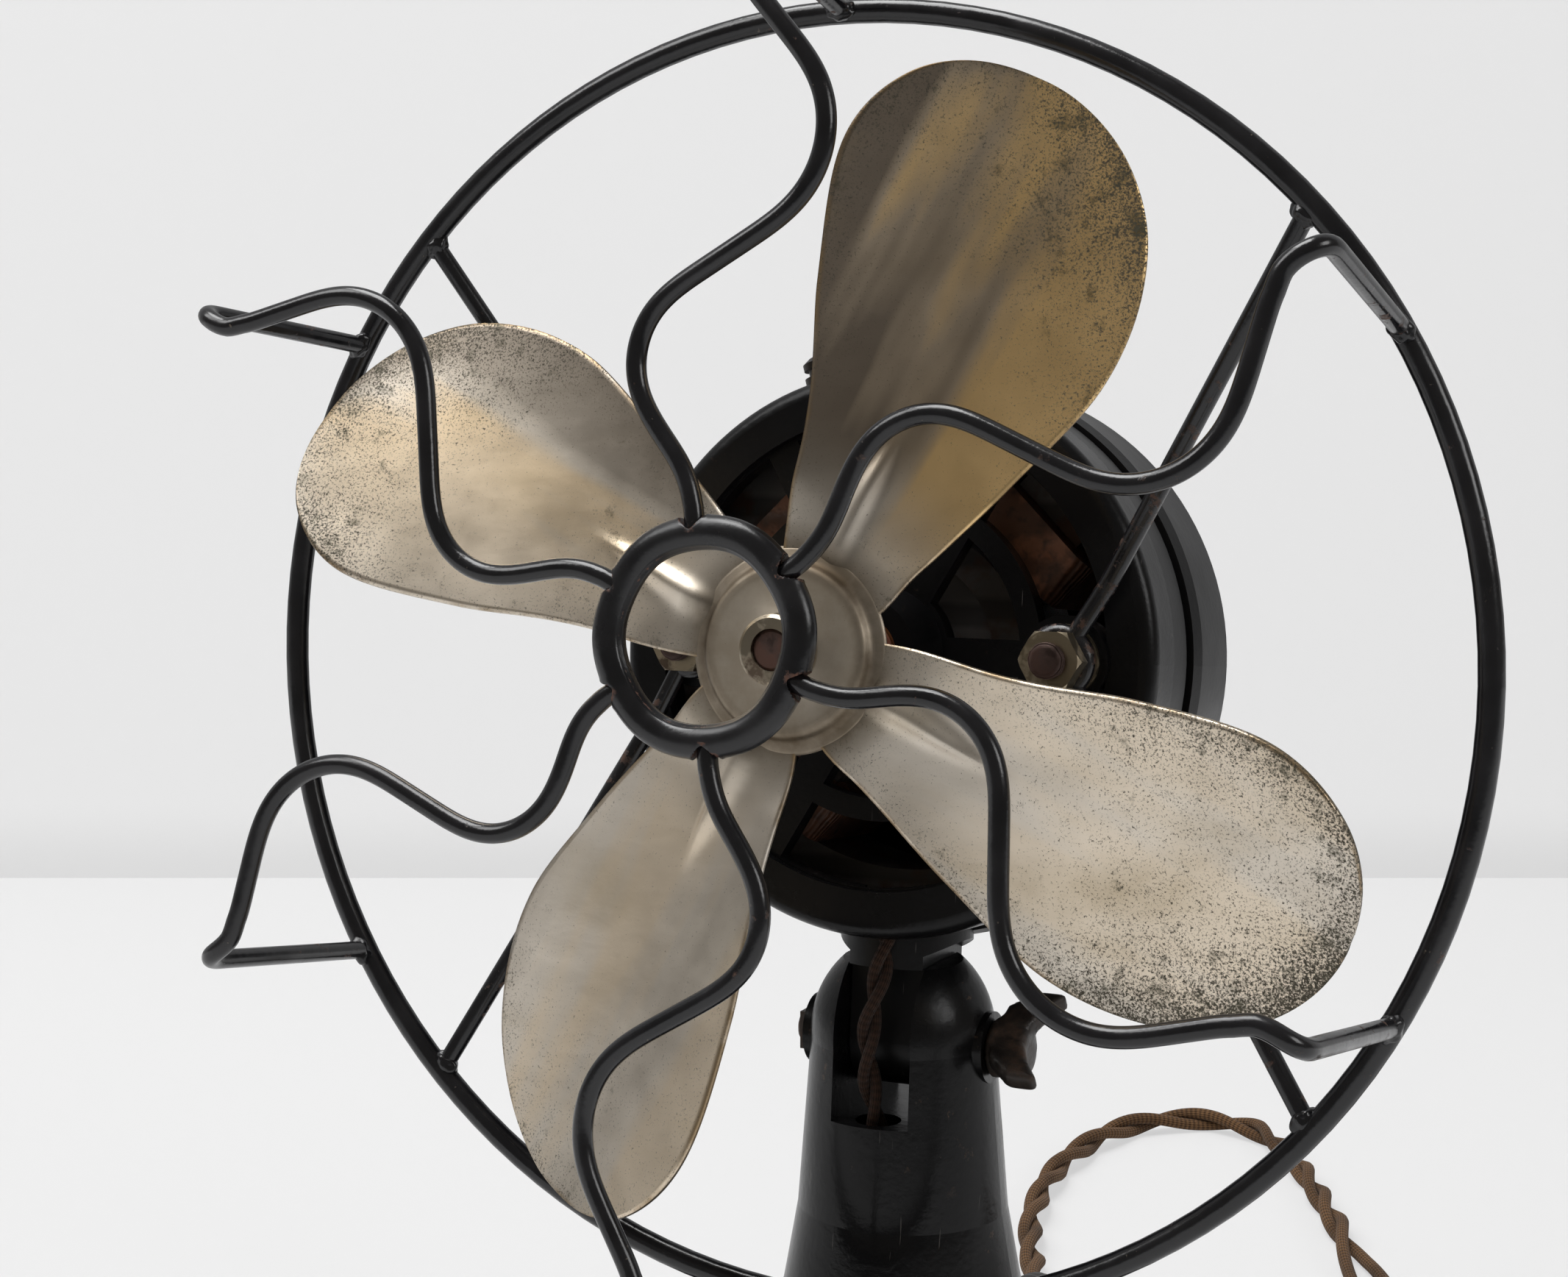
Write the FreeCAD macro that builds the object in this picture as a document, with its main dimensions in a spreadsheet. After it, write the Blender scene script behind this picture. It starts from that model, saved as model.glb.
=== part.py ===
# Small electric desk fan: four-blade fan in a wire guard, on a motor that tilts in a forked cast base.
# Row frame: +Z up, +X to the right of someone facing the fan, the air blows towards -Y.
# The origin is the centre of the foot's underside. Lengths are millimetres, angles degrees.
import FreeCAD, Part
import math
import os
import Sketcher

doc = FreeCAD.newDocument("desk_fan")
sheet = doc.addObject("Spreadsheet::Sheet", "Sizes")
V = FreeCAD.Vector


class Size:
    """A number together with the spreadsheet expression that gives it."""

    def __init__(self, value, text=None):
        self.value = float(value)
        self.text = text if text else repr(float(value))

    def join(self, other, sign, value):
        return Size(value, "(%s %s %s)" % (self.text, sign, as_size(other).text))

    def __add__(self, other):
        return self.join(other, "+", self.value + as_size(other).value)

    def __sub__(self, other):
        return self.join(other, "-", self.value - as_size(other).value)

    def __mul__(self, other):
        return self.join(other, "*", self.value * as_size(other).value)

    def __truediv__(self, other):
        return self.join(other, "/", self.value / as_size(other).value)

    def __neg__(self):
        return Size(0) - self

    def __float__(self):
        return self.value


def as_size(item):
    return item if isinstance(item, Size) else Size(item)


def cosine(angle):
    return Size(math.cos(math.radians(angle.value)), "cos(%s)" % angle.text)


def sine(angle):
    return Size(math.sin(math.radians(angle.value)), "sin(%s)" % angle.text)


def arcsine(ratio):
    return Size(math.degrees(math.asin(ratio.value)), "(asin(%s) / 1 deg)" % ratio.text)


def root(square):
    return Size(math.sqrt(square.value), "sqrt(%s)" % square.text)


sheet_rows = []


def size(name, value):
    """One driving dimension: a plain number in the sheet under its own name."""
    row = len(sheet_rows) + 1
    sheet_rows.append(name)
    sheet.set("A%d" % row, name)
    sheet.set("B%d" % row, str(value))
    sheet.setAlias("B%d" % row, name)
    return Size(value, "Sizes." + name)


# Running and seating clearances
shaft_clearance = size("shaft_clearance", 0.05)
pivot_clearance = size("pivot_clearance", 0.08)
fork_clearance = size("fork_clearance", 0.3)
tilt_clearance = size("tilt_clearance", 0.6)
air_gap = size("air_gap", 0.4)
end_float = size("end_float", 0.35)
seat_clearance = size("seat_clearance", 0.1)

# Base casting, from the foot upwards
rim_radius = size("rim_radius", 62.0)
rim_height = size("rim_height", 9.0)
rim_round = size("rim_round", 5.0)
base_wall = size("base_wall", 3.5)
felt_thickness = size("felt_thickness", 2.0)
felt_inset = size("felt_inset", 0.6)
plate_thickness = size("plate_thickness", 1.5)
flare_top_radius = size("flare_top_radius", 22.3)
flare_top_height = size("flare_top_height", 42.0)
flare_curve = size("flare_curve", 40.0)
column_low_radius = size("column_low_radius", 19.6)
column_low_height = size("column_low_height", 57.0)
column_radius = size("column_radius", 17.2)
pivot_height = size("pivot_height", 88.0)
fork_top_radius = size("fork_top_radius", 11.2)
fork_top_rise = size("fork_top_rise", 15.0)
fork_slot_width = size("fork_slot_width", 15.0)
fork_slot_depth = size("fork_slot_depth", 12.5)
lead_hole_radius = size("lead_hole_radius", 4.2)
lead_hole_place = size("lead_hole_place", 12.0)
ear_boss_radius = size("ear_boss_radius", 6.5)
ear_boss_reach = size("ear_boss_reach", 0.5)
plate_screw_circle = size("plate_screw_circle", 50.0)
plate_screw_radius = size("plate_screw_radius", 1.5)
plate_screw_head = size("plate_screw_head", 3.0)
plate_screw_length = size("plate_screw_length", 9.0)
plate_screw_turn = size("plate_screw_turn", 45.0)
plate_boss_radius = size("plate_boss_radius", 4.0)

# Clamp screw across the fork, and the square nut at its far end
screw_radius = size("screw_radius", 2.5)
wing_hub_radius = size("wing_hub_radius", 5.0)
wing_hub_length = size("wing_hub_length", 6.5)
wing_reach = size("wing_reach", 10.5)
wing_thickness = size("wing_thickness", 3.0)
wing_spread = size("wing_spread", 6.5)
wing_turn = size("wing_turn", 121.0)
nut_width = size("nut_width", 7.0)
nut_thickness = size("nut_thickness", 1.8)

# Head: how it sits over the pivot
head_tilt = size("head_tilt", 5.7)
axis_height = size("axis_height", 71.5)
ring_place = size("ring_place", 41.5)
face_place = size("face_place", 20.5)

# Motor housing
motor_radius = size("motor_radius", 51.6)
motor_wall = size("motor_wall", 3.6)
bell_depth = size("bell_depth", 12.0)
bell_round = size("bell_round", 3.0)
face_width = size("face_width", 8.6)
window_radius = motor_radius - face_width
web_recess = size("web_recess", 2.0)
web_thickness = size("web_thickness", 4.0)
spoke_width = size("spoke_width", 6.5)
rib_inner = size("rib_inner", 26.5)
rib_outer = size("rib_outer", 30.5)
bearing_boss_radius = size("bearing_boss_radius", 10.5)
bearing_boss_reach = size("bearing_boss_reach", 8.0)
groove_place = size("groove_place", 8.0)
groove_width = size("groove_width", 2.2)
groove_depth = size("groove_depth", 2.0)
bulge_rise = size("bulge_rise", 1.5)
bulge_radius = motor_radius + bulge_rise
housing_length = size("housing_length", 33.5)
rear_depth = size("rear_depth", 15.0)
rear_flat_radius = size("rear_flat_radius", 24.0)
rear_curve = size("rear_curve", 42.0)
rear_boss_reach = size("rear_boss_reach", 5.0)
vent_radius = size("vent_radius", 3.2)
vent_circle = size("vent_circle", 33.0)
stem_radius = size("stem_radius", 12.4)
tongue_radius = size("tongue_radius", 8.5)
oil_cup_angle = size("oil_cup_angle", 107.0)
oil_cup_radius = size("oil_cup_radius", 3.4)
oil_cup_reach = size("oil_cup_reach", 5.2)

# Motor inside
shaft_radius = size("shaft_radius", 3.5)
bush_radius = size("bush_radius", 6.0)
core_length = size("core_length", 24.0)
core_place = size("core_place", -7.0)
yoke_depth = size("yoke_depth", 8.0)
yoke_inner = motor_radius - motor_wall - yoke_depth
bore_radius = size("bore_radius", 24.0)
pole_width = size("pole_width", 16.0)
coil_thickness = size("coil_thickness", 5.8)
coil_low = size("coil_low", 27.0)
coil_high = size("coil_high", 37.0)
coil_clearance = size("coil_clearance", 0.2)
end_ring_height = size("end_ring_height", 3.0)
washer_radius = size("washer_radius", 5.6)
thrust_thickness = size("thrust_thickness", 1.0)

# Guard studs, nuts and washers
stud_inset = size("stud_inset", 16.1)
stud_place = motor_radius - stud_inset
stud_radius = size("stud_radius", 3.0)
stud_boss_radius = size("stud_boss_radius", 8.0)
stud_boss_rise = size("stud_boss_rise", 1.0)
stud_end = size("stud_end", 1.5)
hex_flats = size("hex_flats", 10.0)
hex_thickness = size("hex_thickness", 4.0)
flat_washer_radius = size("flat_washer_radius", 6.5)
flat_washer_thickness = size("flat_washer_thickness", 1.0)

# Guard
ring_radius = size("ring_radius", 111.0)
ring_wire = size("ring_wire", 2.1)
guard_lift = size("guard_lift", 1.8)
guard_lean = size("guard_lean", 2.7)
guard_sag = size("guard_sag", 2.4)
guard_forward = size("guard_forward", 0.8)
guard_depth = size("guard_depth", 50.0)
guard_wire = size("guard_wire", 1.65)
strut_wire = size("strut_wire", 1.65)
braze_depth = size("braze_depth", 1.2)
eye_radius = size("eye_radius", 4.9)
hub_ring_radius = size("hub_ring_radius", 16.35)
hub_ring_wide = size("hub_ring_wide", 2.75)
hub_ring_deep = size("hub_ring_deep", 2.4)
hub_bend_round = size("hub_bend_round", 6.0)
crest_round = size("crest_round", 13.5)
trough_round = size("trough_round", 16.9)
shoulder_round = size("shoulder_round", 7.0)
corner_round = size("corner_round", 4.0)

# Fan
hub_disc_place = size("hub_disc_place", 61.3)
hub_disc_radius = size("hub_disc_radius", 14.6)
hub_skirt_radius = size("hub_skirt_radius", 17.6)
hub_step = size("hub_step", 1.6)
hub_drop = size("hub_drop", 2.6)
sheet_metal = size("sheet_metal", 1.0)
tip_radius = size("tip_radius", 102.2)
blade_pitch = size("blade_pitch", 13.0)
blade_twist = size("blade_twist", 20.0)
blade_lean = size("blade_lean", 3.6)
blade_turn = size("blade_turn", 62.8)
blade_camber = size("blade_camber", 124.0)
blade_set_back = size("blade_set_back", 1.9)
collar_radius = size("collar_radius", 5.9)
collar_reach = size("collar_reach", 5.2)
shaft_recess = size("shaft_recess", 0.5)
hub_bush_radius = size("hub_bush_radius", 8.0)
hub_bush_length = size("hub_bush_length", 21.0)
set_screw_radius = size("set_screw_radius", 1.6)

# Supply cord, its gland and its plug, and the short lead between base and motor
cord_radius = size("cord_radius", 3.1)
gland_radius = size("gland_radius", 5.5)
gland_flange = size("gland_flange", 7.5)
gland_height = size("gland_height", 15.0)
gland_out = size("gland_out", 61.5)
gland_length = size("gland_length", 14.0)
coil_radius = size("coil_radius", 35.0)
coil_layers = size("coil_layers", 4.0)
coil_centre_x = size("coil_centre_x", 104.0)
coil_centre_y = size("coil_centre_y", 84.0)
plug_radius = size("plug_radius", 12.0)
plug_length = size("plug_length", 26.0)
blade_gap = size("blade_gap", 12.7)
plug_blade_width = size("plug_blade_width", 6.3)
plug_blade_thickness = size("plug_blade_thickness", 1.5)
plug_blade_length = size("plug_blade_length", 16.0)
lead_radius = size("lead_radius", 2.4)
lead_exit = size("lead_exit", 15.3)
lead_tuck = size("lead_tuck", 6.0)
lead_bend_rise = size("lead_bend_rise", 15.0)
lead_end_rise = size("lead_end_rise", 6.0)

# Switch under the front of the foot
lever_inset = size("lever_inset", 17.0)
lever_place = rim_radius - lever_inset
lever_pin_radius = size("lever_pin_radius", 2.0)
lever_hub_radius = size("lever_hub_radius", 5.0)
lever_half_width = size("lever_half_width", 2.2)
lever_thickness = size("lever_thickness", 2.4)
lever_reach = size("lever_reach", 25.0)
lever_knob_radius = size("lever_knob_radius", 3.4)
lever_swing = size("lever_swing", 18.0)
lever_gap = size("lever_gap", 0.35)
switch_half_width = size("switch_half_width", 10.0)
switch_thickness = size("switch_thickness", 2.0)

FULL_TURN = 360.0
SPOKES = 6
BLADES = 4
POLES = 4
PLATE_SCREWS = 4
VENTS = 6
UP = V(0, 0, 1)
OVERCUT = 40.0

# Heights and stations that follow from the sizes above
plate_top = felt_thickness + plate_thickness
bell_back = face_place - bell_depth
housing_back = bell_back - housing_length
rear_face = housing_back - rear_depth
bush_front = face_place - web_recess + bearing_boss_reach
bush_rear = rear_face - rear_boss_reach
boss_top = face_place + stud_boss_rise
rear_seat = rear_face - stud_boss_rise / 2
eye_place = boss_top + flat_washer_thickness + strut_wire
nut_place = eye_place + strut_wire
stud_front = nut_place + hex_thickness + stud_end
collar_front = hub_disc_place + collar_reach

# The head's own frame: x right, y up, z forward along the shaft, origin over the pivot
upright = FreeCAD.Placement(V(0, 0, 0), FreeCAD.Rotation(V(1, 0, 0), 90))
raise_axis = FreeCAD.Placement(V(0, 0, axis_height.value), FreeCAD.Rotation())
at_pivot = FreeCAD.Placement(V(0, 0, pivot_height.value), FreeCAD.Rotation(V(1, 0, 0), -head_tilt.value))
head = at_pivot.multiply(raise_axis).multiply(upright)
guard = head.multiply(FreeCAD.Placement(V(0, guard_lift.value, ring_place.value), FreeCAD.Rotation()))
# The rear ring has sagged a little on its struts, so it leans less far back than the hub ring
lean = FreeCAD.Rotation(V(1, 0, 0), guard_lean.value)
ring_seat = FreeCAD.Placement(V(0, -guard_sag.value, guard_forward.value), lean)
ground = FreeCAD.Placement()

pieces = []


def keep(item, label, place):
    item.Label = label
    item.Placement = place
    pieces.append(item)
    return item


def plane_of(body, role):
    return [feature for feature in body.Origin.OriginFeatures if feature.Role == role][0]


def new_body(label, place):
    return keep(doc.addObject("PartDesign::Body", label), label, place)


def new_sketch(body, name, role, offset=Size(0)):
    """A sketch on one of the body's own origin planes, moved along its normal."""
    sketch = body.newObject("Sketcher::SketchObject", name)
    sketch.AttachmentSupport = [(plane_of(body, role), "")]
    sketch.MapMode = "FlatFace"
    sketch.AttachmentOffset = FreeCAD.Placement(V(0, 0, offset.value), FreeCAD.Rotation())
    sketch.setExpression("AttachmentOffset.Base.z", offset.text)
    return sketch


def bind(sketch, index, name, quantity):
    sketch.renameConstraint(index, name)
    sketch.setExpression("Constraints." + name, as_size(quantity).text)


def place_point(sketch, geometry, end, x, y, name):
    """Holds a point of a sketch at x, y from the origin."""
    first = sketch.addConstraint(Sketcher.Constraint("DistanceX", -1, 1, geometry, end, float(x)))
    bind(sketch, first, name + "x", x)
    second = sketch.addConstraint(Sketcher.Constraint("DistanceY", -1, 1, geometry, end, float(y)))
    bind(sketch, second, name + "y", y)


def arc_between(start, end, radius):
    """The short arc from start to end; a negative radius bows to the other side."""
    chord = end - start
    middle = (start + end) * 0.5
    across = V(-chord.y, chord.x, 0).normalize()
    away = math.sqrt(radius * radius - chord.Length ** 2 / 4)
    centre = middle + across * math.copysign(away, radius)
    first = math.atan2(start.y - centre.y, start.x - centre.x)
    last = math.atan2(end.y - centre.y, end.x - centre.x)
    circle = Part.Circle(centre, UP, abs(radius))
    if radius > 0:
        return Part.ArcOfCircle(circle, first, last)
    return Part.ArcOfCircle(circle, last, first)


def draw_loop(sketch, corners, tag="p"):
    """A closed outline. A corner is (x, y), or (x, y, radius) where an arc leaves it."""
    ends = []
    for number, corner in enumerate(corners):
        following = corners[(number + 1) % len(corners)]
        start = V(float(corner[0]), float(corner[1]), 0)
        end = V(float(following[0]), float(following[1]), 0)
        if len(corner) == 3:
            radius = as_size(corner[2])
            item = sketch.addGeometry(arc_between(start, end, radius.value))
            size_of = radius if radius.value > 0 else -radius
            index = sketch.addConstraint(Sketcher.Constraint("Radius", item, size_of.value))
            bind(sketch, index, "%sr%d" % (tag, number), size_of)
            ends.append((item, 1, 2) if radius.value > 0 else (item, 2, 1))
        else:
            item = sketch.addGeometry(Part.LineSegment(start, end))
            ends.append((item, 1, 2))
    for number, (item, first, last) in enumerate(ends):
        after = ends[(number + 1) % len(ends)]
        sketch.addConstraint(Sketcher.Constraint("Coincident", item, last, after[0], after[1]))
        place_point(sketch, item, first, corners[number][0], corners[number][1], "%s%d" % (tag, number))


def draw_circle(sketch, x, y, radius, tag="c"):
    item = sketch.addGeometry(Part.Circle(V(float(x), float(y), 0), UP, float(radius)))
    index = sketch.addConstraint(Sketcher.Constraint("Radius", item, float(radius)))
    bind(sketch, index, tag + "r", radius)
    place_point(sketch, item, 3, x, y, tag)


def turn(body, name, corners):
    """Revolves an outline of (radius, height) corners about the body's Z axis."""
    sketch = new_sketch(body, name + "_outline", "XZ_Plane")
    draw_loop(sketch, corners)
    solid = body.newObject("PartDesign::Revolution", name)
    solid.Profile = sketch
    solid.ReferenceAxis = (sketch, ["V_Axis"])
    solid.Angle = FULL_TURN
    return solid


def raise_pad(body, name, sketch, length):
    pad = body.newObject("PartDesign::Pad", name)
    pad.Profile = sketch
    pad.setExpression("Length", length.text)
    return pad


def cut_pocket(body, name, sketch, depth):
    """Cuts from the sketch downwards, against its normal."""
    pocket = body.newObject("PartDesign::Pocket", name)
    pocket.Profile = sketch
    pocket.setExpression("Length", as_size(depth).text)
    return pocket


def repeat_round(body, name, feature, sketch, count):
    doc.recompute()
    pattern = body.newObject("PartDesign::PolarPattern", name)
    pattern.Originals = [feature]
    pattern.Axis = (sketch, ["N_Axis"])
    pattern.Angle = FULL_TURN
    pattern.Occurrences = count
    body.Tip = pattern
    return pattern


def cylinder(name, radius, height, place):
    item = doc.addObject("Part::Cylinder", name)
    item.setExpression("Radius", radius.text)
    item.setExpression("Height", height.text)
    item.Placement = place
    return item


def group(label, items, place):
    bundle = doc.addObject("Part::Compound", label)
    bundle.Links = items
    return keep(bundle, label, place)


def solid_piece(label, shape, place):
    return keep_shape(doc.addObject("Part::Feature", label), label, shape, place)


def keep_shape(item, label, shape, place):
    item.Shape = shape
    return keep(item, label, place)


def moved(x, y, z, axis=UP, angle=0.0):
    return FreeCAD.Placement(V(float(x), float(y), float(z)), FreeCAD.Rotation(axis, float(angle)))


def rounded_path(points, radii):
    """Straight runs joined by tangent arcs; radii belong to the points between the ends."""
    edges = []
    here = points[0]
    for number, radius in enumerate(radii):
        corner = points[number + 1]
        back = (points[number] - corner).normalize()
        ahead = (points[number + 2] - corner).normalize()
        half = math.radians(180.0) - back.getAngle(ahead)
        reach = radius * math.tan(half / 2)
        first = corner + back * reach
        last = corner + ahead * reach
        inward = (back + ahead).normalize()
        centre = corner + inward * (radius / math.cos(half / 2))
        middle = centre - inward * radius
        edges.append(Part.LineSegment(here, first).toShape())
        edges.append(Part.Arc(first, middle, last).toShape())
        here = last
    edges.append(Part.LineSegment(here, points[-1]).toShape())
    return Part.Wire(edges)


def round_wire(path, radius):
    """A round rod swept along a path."""
    start = path.Edges[0]
    heading = start.tangentAt(start.FirstParameter)
    profile = Part.Wire(Part.makeCircle(radius, start.valueAt(start.FirstParameter), heading))
    swept = path.makePipeShell([profile], True, False)
    return swept


# --- Base -----------------------------------------------------------------------------------------

def base_column():
    """Cast iron foot, bell and forked column in one piece, hollow from below."""
    body = new_body("base_column", ground)
    rim_top = felt_thickness + rim_height
    shoulder = pivot_height + fork_top_rise
    dome = root(fork_top_radius * fork_top_radius + fork_top_rise * fork_top_rise)
    slot_floor = pivot_height - fork_slot_depth
    roof = slot_floor - base_wall
    turn(body, "casting", [
        (rim_radius, felt_thickness),
        (rim_radius, rim_top, rim_round),
        (rim_radius - rim_round, rim_top + rim_round * 0.7, -flare_curve),
        (flare_top_radius, flare_top_height),
        (column_low_radius, column_low_height),
        (column_radius, pivot_height, dome),
        (fork_top_radius, shoulder),
        (Size(0), shoulder),
        (Size(0), roof),
        (column_radius - base_wall * 1.3, roof),
        (column_low_radius - base_wall, column_low_height),
        (flare_top_radius - base_wall, flare_top_height, flare_curve + base_wall),
        (rim_radius - rim_round - base_wall, rim_top + rim_round * 0.7 - base_wall),
        (rim_radius - base_wall, rim_top - base_wall),
        (rim_radius - base_wall, felt_thickness),
    ])
    # Slot between the ears, open to the front, the back and the top
    side = new_sketch(body, "slot_outline", "XZ_Plane", Size(OVERCUT))
    half = fork_slot_width / 2
    draw_loop(side, [(-half, slot_floor), (half, slot_floor), (half, shoulder + 5), (-half, shoulder + 5)])
    cut_pocket(body, "slot", side, Size(2 * OVERCUT))
    # Hole in the slot's floor for the motor lead
    floor = new_sketch(body, "lead_hole_outline", "XY_Plane", slot_floor + 1)
    draw_circle(floor, 0, -lead_hole_place, lead_hole_radius)
    cut_pocket(body, "lead_hole", floor, base_wall + 2)
    # Bosses on the ears, then the bore for the clamp screw
    for name, sign in (("right", 1), ("left", -1)):
        begin = half + base_wall * 0.4
        ear = new_sketch(body, name + "_boss_outline", "YZ_Plane", begin if sign > 0 else -begin)
        draw_circle(ear, 0, pivot_height, ear_boss_radius)
        boss = raise_pad(body, name + "_boss", ear, column_radius + ear_boss_reach - begin)
        boss.Reversed = sign < 0
    bore = new_sketch(body, "pivot_bore_outline", "YZ_Plane", Size(OVERCUT))
    draw_circle(bore, 0, pivot_height, screw_radius + pivot_clearance)
    cut_pocket(body, "pivot_bore", bore, Size(2 * OVERCUT))
    # Screw bosses inside the foot
    doc.recompute()
    under = new_sketch(body, "screw_boss_outline", "XY_Plane", plate_top)
    angle = plate_screw_turn
    x = plate_screw_circle * cosine(angle)
    y = plate_screw_circle * sine(angle)
    draw_circle(under, x, y, plate_boss_radius)
    boss = raise_pad(body, "screw_boss", under, rim_top + rim_round * 0.7 - plate_top)
    repeat_round(body, "screw_bosses", boss, under, PLATE_SCREWS)
    lower = new_sketch(body, "screw_hole_outline", "XY_Plane", plate_top + plate_screw_length - 1)
    draw_circle(lower, x, y, plate_screw_radius + seat_clearance)
    hole = cut_pocket(body, "screw_hole", lower, plate_screw_length)
    repeat_round(body, "screw_holes", hole, lower, PLATE_SCREWS)
    # Hole for the cord's gland at the back and the lever's slot at the front
    rear = new_sketch(body, "gland_hole_outline", "XZ_Plane", -(gland_out - gland_length - 6))
    draw_circle(rear, 0, gland_height, gland_radius + seat_clearance)
    gland_hole = cut_pocket(body, "gland_hole", rear, Size(OVERCUT))
    front = new_sketch(body, "lever_slot_outline", "XZ_Plane", rim_radius + 5)
    wide = (rim_radius - lever_place) * sine(lever_swing) + lever_half_width + 1.6
    low = plate_top + switch_thickness
    draw_loop(front, [(-wide, low), (wide, low), (wide, low + lever_thickness + lever_gap * 2),
                      (-wide, low + lever_thickness + lever_gap * 2)])
    cut_pocket(body, "lever_slot", front, Size(12.0))
    return body


def base_fittings():
    """Closing plate, felt, and the screws that hold the plate."""
    plate = new_body("base_plate", ground)
    inside = rim_radius - base_wall - seat_clearance * 2
    turn(plate, "disc", [
        (Size(0), felt_thickness), (inside, felt_thickness), (inside, plate_top), (Size(0), plate_top)])
    holes = new_sketch(plate, "screw_holes_outline", "XY_Plane", plate_top + 1)
    angle = plate_screw_turn
    x = plate_screw_circle * cosine(angle)
    y = plate_screw_circle * sine(angle)
    draw_circle(holes, x, y, plate_screw_head + seat_clearance)
    hole = cut_pocket(plate, "screw_hole", holes, plate_thickness + 2)
    repeat_round(plate, "screw_holes", hole, holes, PLATE_SCREWS)
    felt = new_body("base_felt", ground)
    edge = rim_radius - felt_inset
    turn(felt, "pad", [(Size(0), Size(0)), (edge, Size(0)), (edge, felt_thickness), (Size(0), felt_thickness)])
    screws = []
    for number in range(PLATE_SCREWS):
        turned = plate_screw_turn.value + FULL_TURN / PLATE_SCREWS * number
        across = moved(0, 0, 0, UP, turned).multVec(V(plate_screw_circle.value, 0, 0))
        head_part = cylinder("plate_screw_head_%d" % number, plate_screw_head, plate_thickness,
                             moved(across.x, across.y, felt_thickness))
        shank = cylinder("plate_screw_shank_%d" % number, plate_screw_radius,
                         plate_screw_length - plate_thickness, moved(across.x, across.y, plate_top))
        screw = doc.addObject("Part::Fuse", "plate_screw_%d" % number)
        screw.Base = head_part
        screw.Tool = shank
        screws.append(screw)
    group("plate_screws", screws, ground)


def clamp_screw():
    """Screw through both ears and the motor's tongue, with cast wings to turn it by."""
    across = FreeCAD.Placement(V(0, 0, pivot_height.value), FreeCAD.Rotation(V(0, 1, 0), 90))
    body = new_body("wing_screw", across)
    seat = column_radius + ear_boss_reach + end_float
    far = -(column_radius + ear_boss_reach + nut_thickness + screw_radius * 0.3)
    turn(body, "spindle", [
        (Size(0), far), (screw_radius, far), (screw_radius, seat), (wing_hub_radius, seat),
        (wing_hub_radius - 1, seat + wing_hub_length), (Size(0), seat + wing_hub_length)])
    for number, sign in enumerate((1, -1)):
        wing = new_sketch(body, "wing_outline_%d" % number, "XZ_Plane", -(wing_thickness / 2))
        reach = wing_reach if sign > 0 else -wing_reach
        root_low = wing_thickness * (0.7 * sign)
        side = wing_spread if sign > 0 else -wing_spread
        tall = wing_hub_length
        draw_loop(wing, [(root_low, seat + tall * 0.15), (side, seat + tall * 0.3), (reach, seat + tall),
                         (reach, seat + tall * 1.75), (side, seat + tall * 1.3), (root_low, seat + tall)], "w")
        pad = raise_pad(body, "wing_%d" % number, wing, wing_thickness)
        pad.Reversed = True
    body.Placement = across.multiply(moved(0, 0, 0, UP, wing_turn))
    nut = new_body("pivot_nut", across)
    flat = new_sketch(nut, "nut_outline", "XY_Plane", -(column_radius + ear_boss_reach + nut_thickness))
    half = nut_width / 2
    draw_loop(flat, [(-half, -half), (half, -half), (half, half), (-half, half)])
    draw_circle(flat, 0, 0, screw_radius + pivot_clearance)
    raise_pad(nut, "nut", flat, nut_thickness)


def switch():
    """Fibre plate with a pin, and the lever that turns on it and comes out through the foot."""
    plate = new_body("switch_plate", ground)
    outline = new_sketch(plate, "plate_outline", "XY_Plane", plate_top)
    w = switch_half_width
    draw_loop(outline, [(-w, -(lever_place + 8)), (w, -(lever_place + 8)), (w, -(lever_place - w)),
                        (-w, -(lever_place - w))])
    raise_pad(plate, "plate", outline, switch_thickness)
    pin = new_sketch(plate, "pin_outline", "XY_Plane", plate_top + switch_thickness - 0.5)
    draw_circle(pin, 0, -lever_place, lever_pin_radius)
    raise_pad(plate, "pin", pin, lever_thickness + lever_gap * 2 + 1.5)
    lever = new_body("switch_lever", ground)
    low = plate_top + switch_thickness + lever_gap
    hub = new_sketch(lever, "hub_outline", "XY_Plane", low)
    draw_circle(hub, 0, -lever_place, lever_hub_radius)
    raise_pad(lever, "hub", hub, lever_thickness)
    arm = new_sketch(lever, "arm_outline", "XY_Plane", low)
    u = lever_half_width
    draw_loop(arm, [(-u, -(lever_place + lever_reach)), (u, -(lever_place + lever_reach)),
                    (u, -lever_place), (-u, -lever_place)])
    raise_pad(lever, "arm", arm, lever_thickness)
    bore = new_sketch(lever, "bore_outline", "XY_Plane", low + lever_thickness + 1)
    draw_circle(bore, 0, -lever_place, lever_pin_radius + shaft_clearance)
    cut_pocket(lever, "bore", bore, lever_thickness + 2)
    knob = doc.addObject("Part::Sphere", "switch_knob")
    knob.setExpression("Radius", lever_knob_radius.text)
    keep(knob, "switch_knob", moved(0, -(lever_place + lever_reach + lever_knob_radius - 0.2),
                                    low + lever_thickness / 2))


# --- Motor ----------------------------------------------------------------------------------------

def window(sketch, inner, outer, gap):
    """Opening between two spokes, between two radii."""
    low = gap - arcsine(spoke_width / (inner * 2))
    high = gap - arcsine(spoke_width / (outer * 2))
    draw_loop(sketch, [
        (outer * cosine(high), -(outer * sine(high)), outer),
        (outer * cosine(high), outer * sine(high)),
        (inner * cosine(low), inner * sine(low), -inner),
        (inner * cosine(low), -(inner * sine(low))),
    ], "w")


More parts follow.
